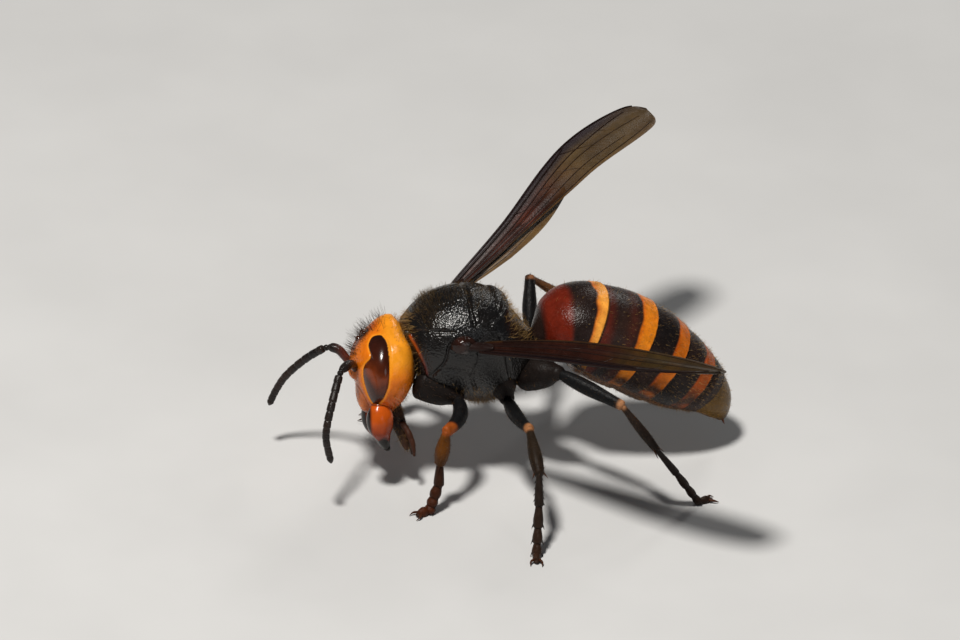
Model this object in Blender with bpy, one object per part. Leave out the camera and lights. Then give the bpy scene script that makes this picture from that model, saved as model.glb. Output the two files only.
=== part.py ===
"""A life-size still model of a large dark hornet that stands on its six feet.

The head points to -X, the insect's left side to -Y, and the floor is z = 0.
The dimensions are millimetres measured from a point on the floor below the
wing roots. At the end every part moves so that the origin is on the floor
below the middle of the whole model.
"""
import math

import bmesh
import bpy
from mathutils import Matrix, Vector

MM = 0.001
GAP = 0.27
MERGE = 0.00000005
MODEL_NAME = "yellow_vented_hornet"
SMOOTH_ANGLE = math.radians(38)

# Driving dimensions, in millimetres
HEAD_WIDTH = 6.4
THORAX_WIDTH = 6.5
GASTER_WIDTH = 6.5
WING_CHORD = 3.3
WING_THICKNESS = 0.5
ANTENNA_RADIUS = 0.28
FEMUR_RADIUS = 0.5
TIBIA_RADIUS = 0.4
TARSUS_RADIUS = 0.29
TROCHANTER_RADIUS = 0.5

# How finely the surfaces are faceted
HEAD_SIDES = 28
HEAD_STEPS = 14
EYE_SEGMENTS = 18
EYE_RINGS = 12
THORAX_SIDES = 26
GASTER_SIDES = 24

LEFT = -1
RIGHT = 1
FLOOR_BLOCK = 60.0

# The head is tipped and turned to the insect's right about the neck, then shifted
HEAD_ROLL = math.radians(-25)
HEAD_YAW = math.radians(-8)
HEAD_SHIFT = Vector((0.25, -0.05, -0.5))
NECK = Vector((-3.0, 0, 8.3))

# The last foot segment lies flat on the floor
SOLE_HEIGHT = 0.2
SOLE_LENGTH = 0.75

# Height, middle, half width, reach to the front and to the rear of each level of the head
HEAD_LEVELS = (
    (11.15, -4.28, 0.12, 0.25, 0.22),
    (10.92, -4.28, 0.32, 0.70, 0.45),
    (10.40, -4.30, 0.56, 1.25, 0.85),
    (9.75, -4.42, 0.77, 1.75, 1.33),
    (9.05, -4.52, 0.91, 2.02, 1.72),
    (8.20, -4.60, 1.00, 2.08, 1.98),
    (7.30, -4.60, 1.00, 1.88, 1.95),
    (6.50, -4.65, 0.89, 1.62, 1.68),
    (5.80, -4.75, 0.70, 1.30, 1.40),
    (5.25, -4.90, 0.46, 0.80, 1.00),
)
# How full the oval of each level is at the front and at the rear, where 2 is an ellipse
HEAD_FULLNESS = (2.1, 2.4)

# Place along X, height of the widest level, half width, reach up and down, and lean
THORAX_STATIONS = (
    (-2.95, 8.50, 0.42, 1.60, 1.50, -0.30),
    (-2.55, 8.60, 0.66, 2.00, 2.20, -0.30),
    (-1.80, 8.80, 0.86, 2.45, 3.00, -0.28),
    (-0.80, 9.00, 0.96, 3.00, 3.70, -0.24),
    (0.40, 9.10, 1.00, 3.35, 4.20, -0.16),
    (1.70, 9.10, 0.98, 3.35, 4.30, -0.06),
    (2.75, 8.95, 0.92, 3.00, 4.00, 0.00),
    (3.50, 8.70, 0.83, 2.25, 3.30, 0.06),
    (4.30, 8.40, 0.70, 1.45, 2.40, 0.12),
    (4.95, 8.20, 0.48, 0.85, 1.30, 0.16),
)
SCUTELLUM_CENTRE = (2.62, 0, 11.35)
SCUTELLUM_RADII = (0.9, 1.9, 0.9)
THORAX_LENGTH = THORAX_STATIONS[-1][0] - THORAX_STATIONS[0][0]
# Where the collar and the main block end, as shares of the stations
COLLAR_END = 0.17
MAIN_BLOCK_END = 0.70
TEGULA_CENTRE = (-0.05, -3.12, 10.35)
TEGULA_RADII = (0.82, 0.55, 0.62)

# Place along X, height, half width and half height of the abdomen's axis
GASTER_STATIONS = (
    (5.40, 8.25, 0.20, 0.55),
    (6.05, 8.75, 0.46, 1.35),
    (6.75, 9.10, 0.76, 2.25),
    (7.70, 9.20, 0.92, 2.75),
    (8.95, 8.92, 0.98, 2.95),
    (10.35, 8.25, 1.00, 3.08),
    (11.80, 7.45, 0.99, 3.05),
    (13.20, 6.45, 0.95, 2.90),
    (14.60, 5.45, 0.86, 2.55),
    (15.90, 4.45, 0.70, 2.05),
    (16.90, 3.45, 0.50, 1.50),
    (17.50, 2.45, 0.28, 0.90),
    (17.80, 1.75, 0.10, 0.35),
)
GASTER_LENGTH = 15.5
# Where the abdomen's six visible rings end, as shares of its stations
GASTER_JOINTS = (0.0, 0.32, 0.485, 0.605, 0.73, 0.80, 1.0)
# Each ring's girth along its length; the first ring has no ring in front to slide under
RING_GIRTHS = ((0.0, 0.90), (0.10, 0.965), (0.30, 0.99), (0.6, 1.0), (0.94, 1.0), (1.0, 0.985))
FIRST_RING_GIRTHS = ((0.0, 1.0), (0.12, 1.0), (0.24, 1.0), (0.4, 1.0), (0.6, 1.0), (0.8, 1.0),
                     (0.95, 1.0), (1.0, 0.985))
STING_ROOT = (17.72, 0, 2.0)
STING_TIP = (17.98, 0, 1.25)
STING_RADIUS = 0.16

# Half chord along the wing, as shares of half the greatest chord
WING_PROFILE = ((0.0, 0.24), (0.15, 0.40), (0.35, 0.62), (0.6, 0.88), (0.8, 1.0), (0.93, 0.86), (1.0, 0.25))
HINDWING_PROFILE = ((0.0, 0.4), (0.3, 0.8), (0.7, 1.0), (0.92, 0.7), (1.0, 0.25))
WING_PATHS = {
    "left": ((1.00, -3.75, 10.45), (4.85, -8.40, 12.50), (8.90, -12.90, 13.95), (12.95, -16.60, 14.90)),
    "right": ((1.00, 3.55, 10.50), (5.20, 5.60, 13.20), (10.10, 9.20, 15.95), (15.90, 13.45, 16.70)),
}
# Place across the chord, from -1 at the front edge to 1, and height of each raised vein
WING_VEINS = ((-0.86, 0.20), (-0.48, 0.13), (0.02, 0.11), (0.52, 0.09))
HINDWING_VEINS = ((-0.55, 0.08), (0.25, 0.06))
VEIN_HALF_WIDTH = 0.09
# How far each wing's front edge has turned down at its root, and at its tip
WING_TWISTS = {"left": (math.radians(40), math.radians(-20)), "right": (0.0, 0.0)}
# Share of its path at which each forewing ends
FOREWING_ENDS = {"left": 1.0, "right": 0.965}
# The hindwing's stretch of the forewing's path, its half chord, how far it lies behind on each
# side, how soon along its length it gets there, and how far it lies below
HINDWING_START = 0.05
HINDWING_END = 0.56
HINDWING_HALF_CHORD = 0.27 * WING_CHORD
HINDWING_BACKS = {"left": 0.2, "right": 0.4}
HINDWING_SPREAD = 2.6
HINDWING_DROP = WING_THICKNESS + GAP + 0.1

# Joints of each leg: root, end of the coxa, knee, ankle, end of the first foot segment and sole
LEG_JOINTS = {
    "foreleg_left": ((-2.10, -1.50, 6.95), (-0.15, -2.40, 6.15), (-1.50, -5.50, 5.60),
                     (-1.79, -5.40, 3.35), (-1.87, -5.65, 1.95), (-2.45, -5.90, SOLE_HEIGHT)),
    "midleg_left": ((2.70, -1.40, 7.20), (3.05, -2.60, 5.95), (3.42, -7.10, 6.25),
                    (3.32, -10.30, 4.93), (3.21, -11.10, 3.16), (2.95, -12.15, SOLE_HEIGHT)),
    "hindleg_left": ((4.60, -1.50, 7.00), (6.00, -3.50, 8.05), (9.40, -6.70, 7.20),
                     (11.45, -8.10, 4.60), (12.80, -7.95, 2.75), (14.50, -7.50, SOLE_HEIGHT)),
    "foreleg_right": ((-2.10, 1.50, 6.95), (-0.30, 2.50, 6.00), (-1.90, 5.40, 6.00),
                      (-2.20, 5.50, 3.40), (-2.50, 5.70, 1.90), (-2.95, 5.85, SOLE_HEIGHT)),
    "midleg_right": ((2.20, 1.40, 7.00), (2.80, 2.60, 5.90), (2.30, 6.80, 6.90),
                     (2.00, 9.90, 4.80), (1.90, 10.70, 2.90), (1.70, 11.75, SOLE_HEIGHT)),
    "hindleg_right": ((4.60, 1.50, 7.00), (5.85, 3.20, 7.10), (6.35, 5.60, 9.70),
                      (9.65, 7.60, 6.50), (11.10, 8.40, 4.00), (13.00, 9.20, SOLE_HEIGHT)),
}
# Thickness of each pair's femur, tibia and foot against the sizes above, and how many spurs
LEG_BUILD = {
    "foreleg": (1.10, 1.15, 1.05, 1),
    "midleg": (1.00, 0.95, 0.95, 2),
    "hindleg": (1.05, 0.75, 0.90, 2),
}
# How far the middle of each pair's femur bows away from a straight line
FEMUR_BOWS = {
    "foreleg": Vector((0.55, 0, -0.10)),
    "midleg": Vector((-0.15, 0, -0.10)),
    "hindleg": Vector((0, 0, 0)),
}

COXA_RADII = (1.15, 1.02, 0.55)
FEMUR_SHAPE = (0.72, 0.92, 1.0, 0.98, 0.88, 0.78)
TIBIA_SHAPE = (0.72, 0.80, 0.95, 1.05, 1.1, 0.95)
# Where the short foot segments end between the first one and the sole
FOOT_JOINTS = (0.0, 0.44, 0.75, 1.0)

ANTENNA_PATHS = {
    "left": (((-6.20, -0.60, 7.62), (-6.85, -1.50, 8.68), (-7.65, -2.35, 8.80)),
             ((-7.90, -2.75, 8.62), (-8.52, -3.90, 7.62), (-9.00, -4.65, 6.31),
              (-9.08, -4.90, 5.30), (-8.73, -5.00, 3.79))),
    "right": (((-6.09, 0.78, 7.03), (-6.89, 1.20, 8.10), (-7.48, 1.60, 8.20)),
              ((-7.80, 1.90, 7.95), (-8.73, 2.60, 6.87), (-9.75, 3.20, 5.45),
               (-10.30, 3.50, 4.25), (-10.66, 3.60, 3.20))),
}
FLAGELLUM_SEGMENTS = 11
SCAPE_SHAPE = (0.9, 0.95, 1.0, 1.0, 1.05, 1.1, 1.05, 0.7)

# Mandible: root, bend and tip, on the left side, and its half width at each
MANDIBLE_PATH = ((-4.95, -1.55, 5.60), (-4.95, -1.50, 4.60), (-4.75, -1.15, 3.70), (-4.45, -0.75, 2.85))
MANDIBLE_WIDTHS = (0.80, 0.86, 0.66, 0.24)
MANDIBLE_THICKNESS = 0.9
MANDIBLE_ACROSS = (-0.85, -0.53, 0)
TONGUE_PATH = ((-4.05, 0.0, 5.40), (-3.70, 0.0, 4.50), (-3.35, 0.0, 3.60), (-3.10, 0.0, 2.75))
TONGUE_RADII = (0.55, 0.54, 0.50, 0.44, 0.38, 0.32, 0.2)
PALP_PATH = ((-3.45, -0.35, 4.4), (-3.05, -0.60, 3.7), (-2.80, -0.68, 3.0), (-2.70, -0.62, 2.3))
PALP_RADII = (0.26, 0.26, 0.22, 0.12)

# Middle and reach along X, Y and Z of the face shield, the left antenna's seat and the small eyes
SHIELD_CENTRE = (-5.62, 0, 6.45)
SHIELD_RADII = (0.75, 1.45, 1.5)
SEAT_CENTRE = (-6.4, -0.65, 7.75)
SEAT_RADII = (0.35, 0.45, 0.45)
SMALL_EYES = ((-5.82, -0.5, 10.00), (-5.82, 0.5, 10.00), (-6.12, 0, 9.65))
SMALL_EYE_RADIUS = 0.27

# Middle of the left eye, its reach across, outward and up, and the notch in its front edge
EYE_CENTRE = (-5.20, -2.25, 7.93)
EYE_RADII = (0.93, 0.75, 2.2)
EYE_TURN = math.radians(34)
EYE_LEAN = math.radians(6)
EYE_TIP = math.radians(12)
NOTCH_CENTRE = (-5.94, -2.40, 8.66)
NOTCH_RADIUS = 0.42

COLOURS = {
    "head_orange": ((0.62, 0.17, 0.015), 0.32),
    "eye_dark": ((0.035, 0.008, 0.005), 0.12),
    "mandible_red": ((0.36, 0.06, 0.012), 0.3),
    "mouth_brown": ((0.05, 0.018, 0.008), 0.45),
    "antenna_dark": ((0.018, 0.011, 0.009), 0.5),
    "thorax_black": ((0.010, 0.010, 0.011), 0.55),
    "tegula_brown": ((0.028, 0.010, 0.006), 0.25),
    "gaster_banded": ((0.030, 0.012, 0.008), 0.4),
    "gaster_tip": ((0.40, 0.17, 0.03), 0.45),
    "wing_smoky": ((0.035, 0.020, 0.020), 0.35),
    "leg_dark": ((0.016, 0.011, 0.009), 0.45),
    "leg_brown": ((0.060, 0.018, 0.008), 0.4),
}


def collection(name):
    group = bpy.data.collections.new(name)
    bpy.context.scene.collection.children.link(group)
    return group


def clear_scene():
    for old in list(bpy.data.objects):
        bpy.data.objects.remove(old)


clear_scene()
PARTS = collection(MODEL_NAME)
CUTTERS = collection("cutters")


def material(name):
    """Return the material of this name, made once with its colour and roughness."""
    existing = bpy.data.materials.get(name)
    if existing:
        return existing
    colour, roughness = COLOURS[name]
    made = bpy.data.materials.new(name)
    made.use_nodes = True
    shader = made.node_tree.nodes["Principled BSDF"]
    shader.inputs["Base Color"].default_value = (*colour, 1.0)
    shader.inputs["Roughness"].default_value = roughness
    shader.inputs["Metallic"].default_value = 0.0
    return made


def object_from(bm, name):
    """Put a bmesh that is drawn in millimetres into the scene in metres."""
    bmesh.ops.scale(bm, vec=(MM, MM, MM), verts=bm.verts)
    bmesh.ops.recalc_face_normals(bm, faces=bm.faces)
    mesh = bpy.data.meshes.new(name)
    bm.to_mesh(mesh)
    bm.free()
    made = bpy.data.objects.new(name, mesh)
    PARTS.objects.link(made)
    return made


def curve_through(rows, share):
    """Point at this share of the way along a smooth curve through rows of numbers."""
    spans = len(rows) - 1
    place = min(max(share, 0.0), 1.0) * spans
    index = min(int(place), spans - 1)
    t = place - index
    before = rows[max(index - 1, 0)]
    start = rows[index]
    end = rows[index + 1]
    after = rows[min(index + 2, spans)]
    values = []
    for a, b, c, d in zip(before, start, end, after):
        bend = 2 * a - 5 * b + 4 * c - d
        twist = 3 * (b - c) + d - a
        values.append(0.5 * (2 * b + (c - a) * t + bend * t * t + twist * t ** 3))
    return values


def along_path(rows, count):
    """This many points at even shares of the smooth curve through rows."""
    return [curve_through(rows, step / (count - 1)) for step in range(count)]


def straight_through(rows, share):
    """Second value at this share, on straight lines between rows of (share, value)."""
    for (start, low), (end, high) in zip(rows, rows[1:]):
        if share <= end:
            return low + (high - low) * (share - start) / (end - start)
    return rows[-1][1]


def oval(sides, width, above, below, power_above=2.0, power_below=2.0):
    """Closed outline of (across, up) pairs, each half with its own reach and fullness."""
    outline = []
    for step in range(sides):
        angle = 2 * math.pi * step / sides
        across, up = math.cos(angle), math.sin(angle)
        power = power_above if up >= 0 else power_below
        reach = above if up >= 0 else below
        outline.append((math.copysign(abs(across) ** (2 / power), across) * width,
                        math.copysign(abs(up) ** (2 / power), up) * reach))
    return outline


def loft(name, sections):
    """Closed body through sections, each a centre, two directions and an outline."""
    bm = bmesh.new()
    rings = []
    for centre, across, up, outline in sections:
        rings.append([bm.verts.new(centre + across * x + up * y) for x, y in outline])
    for near, far in zip(rings, rings[1:]):
        for index in range(len(near)):
            following = (index + 1) % len(near)
            bm.faces.new((near[index], near[following], far[following], far[index]))
    bm.faces.new(rings[0])
    bm.faces.new(reversed(rings[-1]))
    return object_from(bm, name)


def ball(name, centre, radii, turn=Matrix.Identity(3), segments=16, rings=10):
    """Ellipsoid with its own three radii, turned about its middle."""
    bm = bmesh.new()
    bmesh.ops.create_uvsphere(bm, u_segments=segments, v_segments=rings, radius=1.0)
    place = Matrix.Translation(centre) @ turn.to_4x4() @ Matrix.Diagonal((*radii, 1.0))
    bmesh.ops.transform(bm, matrix=place, verts=bm.verts)
    return object_from(bm, name)


def spike(name, root, tip, radius, sides=5):
    """Slim cone from its root to a fine tip."""
    axis = Vector(tip) - Vector(root)
    bm = bmesh.new()
    bmesh.ops.create_cone(bm, cap_ends=True, segments=sides, radius1=radius,
                          radius2=radius * 0.15, depth=axis.length)
    turn = axis.to_track_quat("Z", "Y").to_matrix().to_4x4()
    middle = (Vector(root) + Vector(tip)) / 2
    bmesh.ops.transform(bm, matrix=Matrix.Translation(middle) @ turn, verts=bm.verts)
    return object_from(bm, name)


def as_mesh(curve_object):
    """Replace a curve object by a mesh object with its caps welded on."""
    evaluated = curve_object.evaluated_get(bpy.context.evaluated_depsgraph_get())
    mesh = bpy.data.meshes.new_from_object(evaluated)
    name = curve_object.name
    place = curve_object.matrix_world.copy()
    bpy.data.objects.remove(curve_object)
    bm = bmesh.new()
    bm.from_mesh(mesh)
    bmesh.ops.remove_doubles(bm, verts=bm.verts, dist=MERGE)
    bmesh.ops.recalc_face_normals(bm, faces=bm.faces)
    bm.to_mesh(mesh)
    bm.free()
    made = bpy.data.objects.new(name, mesh)
    made.matrix_world = place
    PARTS.objects.link(made)
    return made


def tube(name, points, radii, resolution=3):
    """Round limb through points, with the radius given at each of them."""
    curve = bpy.data.curves.new(name, "CURVE")
    curve.dimensions = "3D"
    curve.bevel_depth = MM
    curve.bevel_resolution = resolution
    curve.use_fill_caps = True
    spline = curve.splines.new("POLY")
    spline.points.add(len(points) - 1)
    for target, point, radius in zip(spline.points, points, radii):
        target.co = (*(Vector(point) * MM), 1.0)
        target.radius = radius
    made = bpy.data.objects.new(name, curve)
    PARTS.objects.link(made)
    bpy.context.view_layer.update()
    return as_mesh(made)


def apply_modifiers(target):
    """Keep the evaluated mesh of an object in place of its modifiers."""
    bpy.context.view_layer.update()
    evaluated = target.evaluated_get(bpy.context.evaluated_depsgraph_get())
    mesh = bpy.data.meshes.new_from_object(evaluated)
    target.modifiers.clear()
    target.data = mesh


def keep_largest(target):
    """Drop every closed surface of a mesh but its largest one."""
    bm = bmesh.new()
    bm.from_mesh(target.data)
    bmesh.ops.remove_doubles(bm, verts=bm.verts, dist=MERGE)
    bm.faces.ensure_lookup_table()
    shells = []
    seen = set()
    for face in bm.faces:
        if face in seen:
            continue
        shell = []
        waiting = [face]
        seen.add(face)
        while waiting:
            current = waiting.pop()
            shell.append(current)
            for edge in current.edges:
                for other in edge.link_faces:
                    if other not in seen:
                        seen.add(other)
                        waiting.append(other)
        shells.append(shell)
    largest = max(shells, key=lambda shell: sum(face.calc_area() for face in shell))
    dropped = [face for shell in shells if shell is not largest for face in shell]
    bmesh.ops.delete(bm, geom=dropped, context="FACES")
    bm.to_mesh(target.data)
    bm.free()


def fuse(pieces):
    """Join closed pieces into the first of them."""
    body = pieces[0]
    group = collection("joining")
    for piece in pieces[1:]:
        PARTS.objects.unlink(piece)
        group.objects.link(piece)
    union = body.modifiers.new("joined", "BOOLEAN")
    union.operation = "UNION"
    union.operand_type = "COLLECTION"
    union.collection = group
    apply_modifiers(body)
    for piece in pieces[1:]:
        bpy.data.objects.remove(piece)
    bpy.data.collections.remove(group)
    keep_largest(body)
    return body


def hide_as_cutter(cutter):
    cutter.hide_render = True
    cutter.display_type = "WIRE"
    PARTS.objects.unlink(cutter)
    CUTTERS.objects.link(cutter)


def cut(target, cutter):
    """Take the cutter's shape out of the target, and keep the largest piece."""
    if cutter.name not in CUTTERS.objects:
        hide_as_cutter(cutter)
    difference = target.modifiers.new("cut", "BOOLEAN")
    difference.operation = "DIFFERENCE"
    difference.object = cutter
    apply_modifiers(target)
    keep_largest(target)


def cut_all(target, cutters):
    for cutter in cutters:
        cut(target, cutter)


def grown(source, name):
    """Copy of a smooth body that reaches one gap further out all round."""
    copy = source.copy()
    copy.data = source.data.copy()
    copy.name = name
    PARTS.objects.link(copy)
    bm = bmesh.new()
    bm.from_mesh(copy.data)
    bm.normal_update()
    for vertex in bm.verts:
        vertex.co += vertex.normal * GAP * MM
    bm.to_mesh(copy.data)
    bm.free()
    return copy


def finish(target, name, material_name):
    """Name a finished part, give it its material and shade its round faces smooth."""
    target.name = name
    target.data.name = name
    target.data.materials.clear()
    target.data.materials.append(material(material_name))
    target.data.shade_smooth()
    target.data.set_sharp_from_angle(angle=SMOOTH_ANGLE)
    return target


def mirrored(point, side):
    """The point on the given side of a body that is drawn for the left side."""
    x, y, z = point
    return Vector((x, y * -side, z))


def tipped(piece):
    """Turn a piece of the head about the neck by the head's roll and yaw."""
    pivot = NECK * MM
    turn = Matrix.Rotation(HEAD_YAW, 4, "Z") @ Matrix.Rotation(HEAD_ROLL, 4, "X")
    place = Matrix.Translation(pivot + HEAD_SHIFT * MM)
    piece.data.transform(place @ turn @ Matrix.Translation(-pivot))
    return piece


def side_name(side):
    return "left" if side == LEFT else "right"


def head_section(share):
    height, middle, width, front, rear = curve_through(HEAD_LEVELS, share)
    outline = oval(HEAD_SIDES, width * HEAD_WIDTH / 2, front, rear, *HEAD_FULLNESS)
    return Vector((middle, 0, height)), Vector((0, 1, 0)), Vector((-1, 0, 0)), outline


def thorax_section(share):
    place, height, width, above, below, lean = curve_through(THORAX_STATIONS, share)
    outline = oval(THORAX_SIDES, width * THORAX_WIDTH / 2, above, below, 2.15, 2.2)
    up = Vector((lean, 0, 1)).normalized()
    return Vector((place, 0, height)), Vector((0, 1, 0)), up, outline


def thorax_slice(name, start, end, levels):
    shares = [start + (end - start) * step / (levels - 1) for step in range(levels)]
    return loft(name, [thorax_section(share) for share in shares])


def gaster_section(share, swell=1.0):
    x, z, width, height = curve_through(GASTER_STATIONS, share)
    ahead = curve_through(GASTER_STATIONS, share + 0.01)
    behind = curve_through(GASTER_STATIONS, share - 0.01)
    along = Vector((ahead[0] - behind[0], 0, ahead[1] - behind[1])).normalized()
    across = Vector((0, 1, 0))
    up = along.cross(across)
    outline = oval(GASTER_SIDES, width * GASTER_WIDTH / 2 * swell, height * swell, height * swell)
    return Vector((x, 0, z)), across, -up if up.z < 0 else up, outline


def gaster_ring(name, start, end, first):
    """One ring of the abdomen, narrower at its front, where it slides under the last."""
    length = end - start
    girths = FIRST_RING_GIRTHS if first else RING_GIRTHS
    return loft(name, [gaster_section(start + length * place, girth) for place, girth in girths])


def make_thorax():
    """Collar, main block and rear block of the thorax."""
    gap = GAP / THORAX_LENGTH
    collar = thorax_slice("pronotum", 0.0, COLLAR_END, 5)
    main = thorax_slice("mesothorax", COLLAR_END + gap, MAIN_BLOCK_END, 9)
    shield = ball("shield", SCUTELLUM_CENTRE, SCUTELLUM_RADII, segments=18, rings=10)
    rear = thorax_slice("propodeum", MAIN_BLOCK_END + gap, 1.0, 6)
    cut(shield, grown(rear, "rear_clearance"))
    main = fuse([main, shield])
    finish(collar, "pronotum", "thorax_black")
    finish(main, "mesothorax", "thorax_black")
    finish(rear, "propodeum", "thorax_black")
    return collar, main, rear


def make_eye(side):
    """Long kidney-shaped eye: an ellipsoid with a round notch in its front edge."""
    turn = Matrix.Rotation(EYE_TIP * side, 3, "X") @ Matrix.Rotation(EYE_TURN * -side, 3, "Z")
    turn = turn @ Matrix.Rotation(EYE_LEAN, 3, "Y")
    made = []
    for name, growth in (("eye", 0.0), ("eye_socket", GAP)):
        radii = [radius + growth for radius in EYE_RADII]
        body = ball(name, mirrored(EYE_CENTRE, side), radii, turn, EYE_SEGMENTS, EYE_RINGS)
        notch_radii = (NOTCH_RADIUS - growth,) * 3
        cut(body, ball("notch", mirrored(NOTCH_CENTRE, side), notch_radii, segments=10, rings=7))
        made.append(body)
    return made


def make_head(collar):
    """Head and both large eyes; returns the bodies that the pieces on the head keep clear of."""
    sections = [head_section(step / (HEAD_STEPS - 1)) for step in range(HEAD_STEPS)]
    head = loft("head", sections)
    shield = ball("face_shield", SHIELD_CENTRE, SHIELD_RADII, segments=20, rings=12)
    seats = [ball("antenna_seat", mirrored(SEAT_CENTRE, side), SEAT_RADII, segments=12, rings=8)
             for side in (LEFT, RIGHT)]
    small_eyes = [ball("small_eye", place, (SMALL_EYE_RADIUS,) * 3, segments=10, rings=6)
                  for place in SMALL_EYES]
    clearances = [tipped(grown(piece, "head_clearance")) for piece in (head, shield, *seats)]
    head = tipped(fuse([head, shield, *seats, *small_eyes]))
    cut(head, grown(collar, "collar_clearance"))
    for side in (LEFT, RIGHT):
        eye, socket = make_eye(side)
        tipped(eye)
        cut(head, tipped(socket))
        finish(eye, "eye_" + side_name(side), "eye_dark")
    finish(head, "head", "head_orange")
    return clearances


def make_mandible(side, clearances):
    """Broad toothed jaw blade that hangs below the face."""
    sections = []
    for step in range(8):
        share = step / 7
        centre = mirrored(curve_through(MANDIBLE_PATH, share), side)
        ahead = mirrored(curve_through(MANDIBLE_PATH, share + 0.02), side)
        behind = mirrored(curve_through(MANDIBLE_PATH, share - 0.02), side)
        along = (ahead - behind).normalized()
        up = along.cross(mirrored(MANDIBLE_ACROSS, side)).normalized()
        across = up.cross(along).normalized()
        width = curve_through([(width,) for width in MANDIBLE_WIDTHS], share)[0]
        outline = oval(14, width, MANDIBLE_THICKNESS / 2, MANDIBLE_THICKNESS / 2, 2.3, 2.3)
        sections.append((centre, across, up, outline))
    jaw = tipped(loft("mandible", sections))
    cut_all(jaw, clearances)
    finish(jaw, "mandible_" + side_name(side), "mandible_red")


def make_mouthparts(clearances):
    """Tongue and palps that hang behind the jaws."""
    tongue = tube("tongue", along_path(TONGUE_PATH, len(TONGUE_RADII)), TONGUE_RADII)
    palps = [tube("palp", [mirrored(point, side) for point in PALP_PATH], PALP_RADII, 2)
             for side in (LEFT, RIGHT)]
    mouth = tipped(fuse([tongue, *palps]))
    cut_all(mouth, clearances)
    finish(mouth, "mouthparts", "mouth_brown")


def make_antenna(name, paths, clearances):
    """Stout first segment, then the bent whip of small rings."""
    scape_path, whip_path = paths
    scape = tube("scape", along_path(scape_path, len(SCAPE_SHAPE)),
                 [ANTENNA_RADIUS * value for value in SCAPE_SHAPE])
    cut_all(scape, clearances)
    finish(scape, "antenna_" + name + "_scape", "antenna_dark")
    points = []
    radii = []
    for segment in range(FLAGELLUM_SEGMENTS):
        taper = 1.0 - 0.12 * segment / FLAGELLUM_SEGMENTS
        for place, size in ((0.0, 0.86), (0.6, 1.03)):
            points.append(curve_through(whip_path, (segment + place) / FLAGELLUM_SEGMENTS))
            radii.append(ANTENNA_RADIUS * size * taper)
    points.append(curve_through(whip_path, 1.0))
    radii.append(ANTENNA_RADIUS * 0.4)
    whip = tube("whip", points, radii, 2)
    finish(whip, "antenna_" + name + "_flagellum", "antenna_dark")


def limb(name, start, end, radii, bow=Vector((0, 0, 0))):
    """Rounded leg segment between two joints, drawn back from each by half a gap."""
    along = (end - start).normalized()
    start = start + along * GAP / 2
    end = end - along * GAP / 2
    points = []
    for index in range(len(radii)):
        share = index / (len(radii) - 1)
        points.append(start.lerp(end, share) + bow * math.sin(math.pi * share))
    return rounded_tube(name, points, radii)


def rounded_tube(name, points, radii, resolution=3):
    """Tube whose two ends are drawn in over a short length."""
    points = [Vector(point) for point in points]
    first = (points[1] - points[0]).normalized()
    last = (points[-1] - points[-2]).normalized()
    second = points[0] + first * radii[0] * 0.3
    second_last = points[-1] - last * radii[-1] * 0.3
    points = [points[0], second, *points[1:-1], second_last, points[-1]]
    radii = [radii[0] * 0.7, radii[0], *radii[1:-1], radii[-1], radii[-1] * 0.7]
    return tube(name, points, radii, resolution)


def make_foot(name, ankle, heel, sole, size, floor):
    """Five foot segments that widen to their ends, with spines, and two claws."""
    ankle, heel, sole = Vector(ankle), Vector(heel), Vector(sole)
    forward = Vector((sole.x - heel.x, sole.y - heel.y, 0)).normalized()
    toe = sole + forward * SOLE_LENGTH
    radius = TARSUS_RADIUS * size
    first = (heel - ankle).normalized()
    shin_end = ankle + first * GAP / 2
    pieces = [tube("foot", (shin_end, shin_end + first * 0.2, heel),
                   (radius * 0.7, radius * 0.88, radius * 1.12), 2)]
    along = (sole - heel).normalized()
    for start, end in zip(FOOT_JOINTS, FOOT_JOINTS[1:]):
        points = (heel.lerp(sole, start) - along * 0.16, heel.lerp(sole, end) + along * 0.06)
        pieces.append(tube("segment", points, (radius * 0.7, radius * 1.05), 2))
    pieces.append(tube("last_segment", (sole - forward * 0.11, toe - forward * 0.15, toe),
                       (radius * 0.8, radius * 1.05, radius * 0.7), 2))
    outward = along.cross(Vector((0, 0, 1))).normalized()
    for end in FOOT_JOINTS[1:-1]:
        root = heel.lerp(sole, end - 0.06)
        for side in (LEFT, RIGHT):
            reach = outward * side * 0.45 + along * 0.42
            pieces.append(spike("spine", root, root + reach, 0.11, 3))
    for side in (LEFT, RIGHT):
        root = toe - forward * 0.12 + outward * side * 0.08 + Vector((0, 0, 0.04))
        bend = toe + forward * 0.30 + outward * side * 0.34 + Vector((0, 0, 0.05))
        tip = toe + forward * 0.55 + outward * side * 0.38 - Vector((0, 0, 0.12))
        pieces.append(tube("claw", (root, bend, tip), (0.15, 0.12, 0.03), 1))
    foot = fuse(pieces)
    cut(foot, floor)
    return finish(foot, name, "leg_brown")


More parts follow.
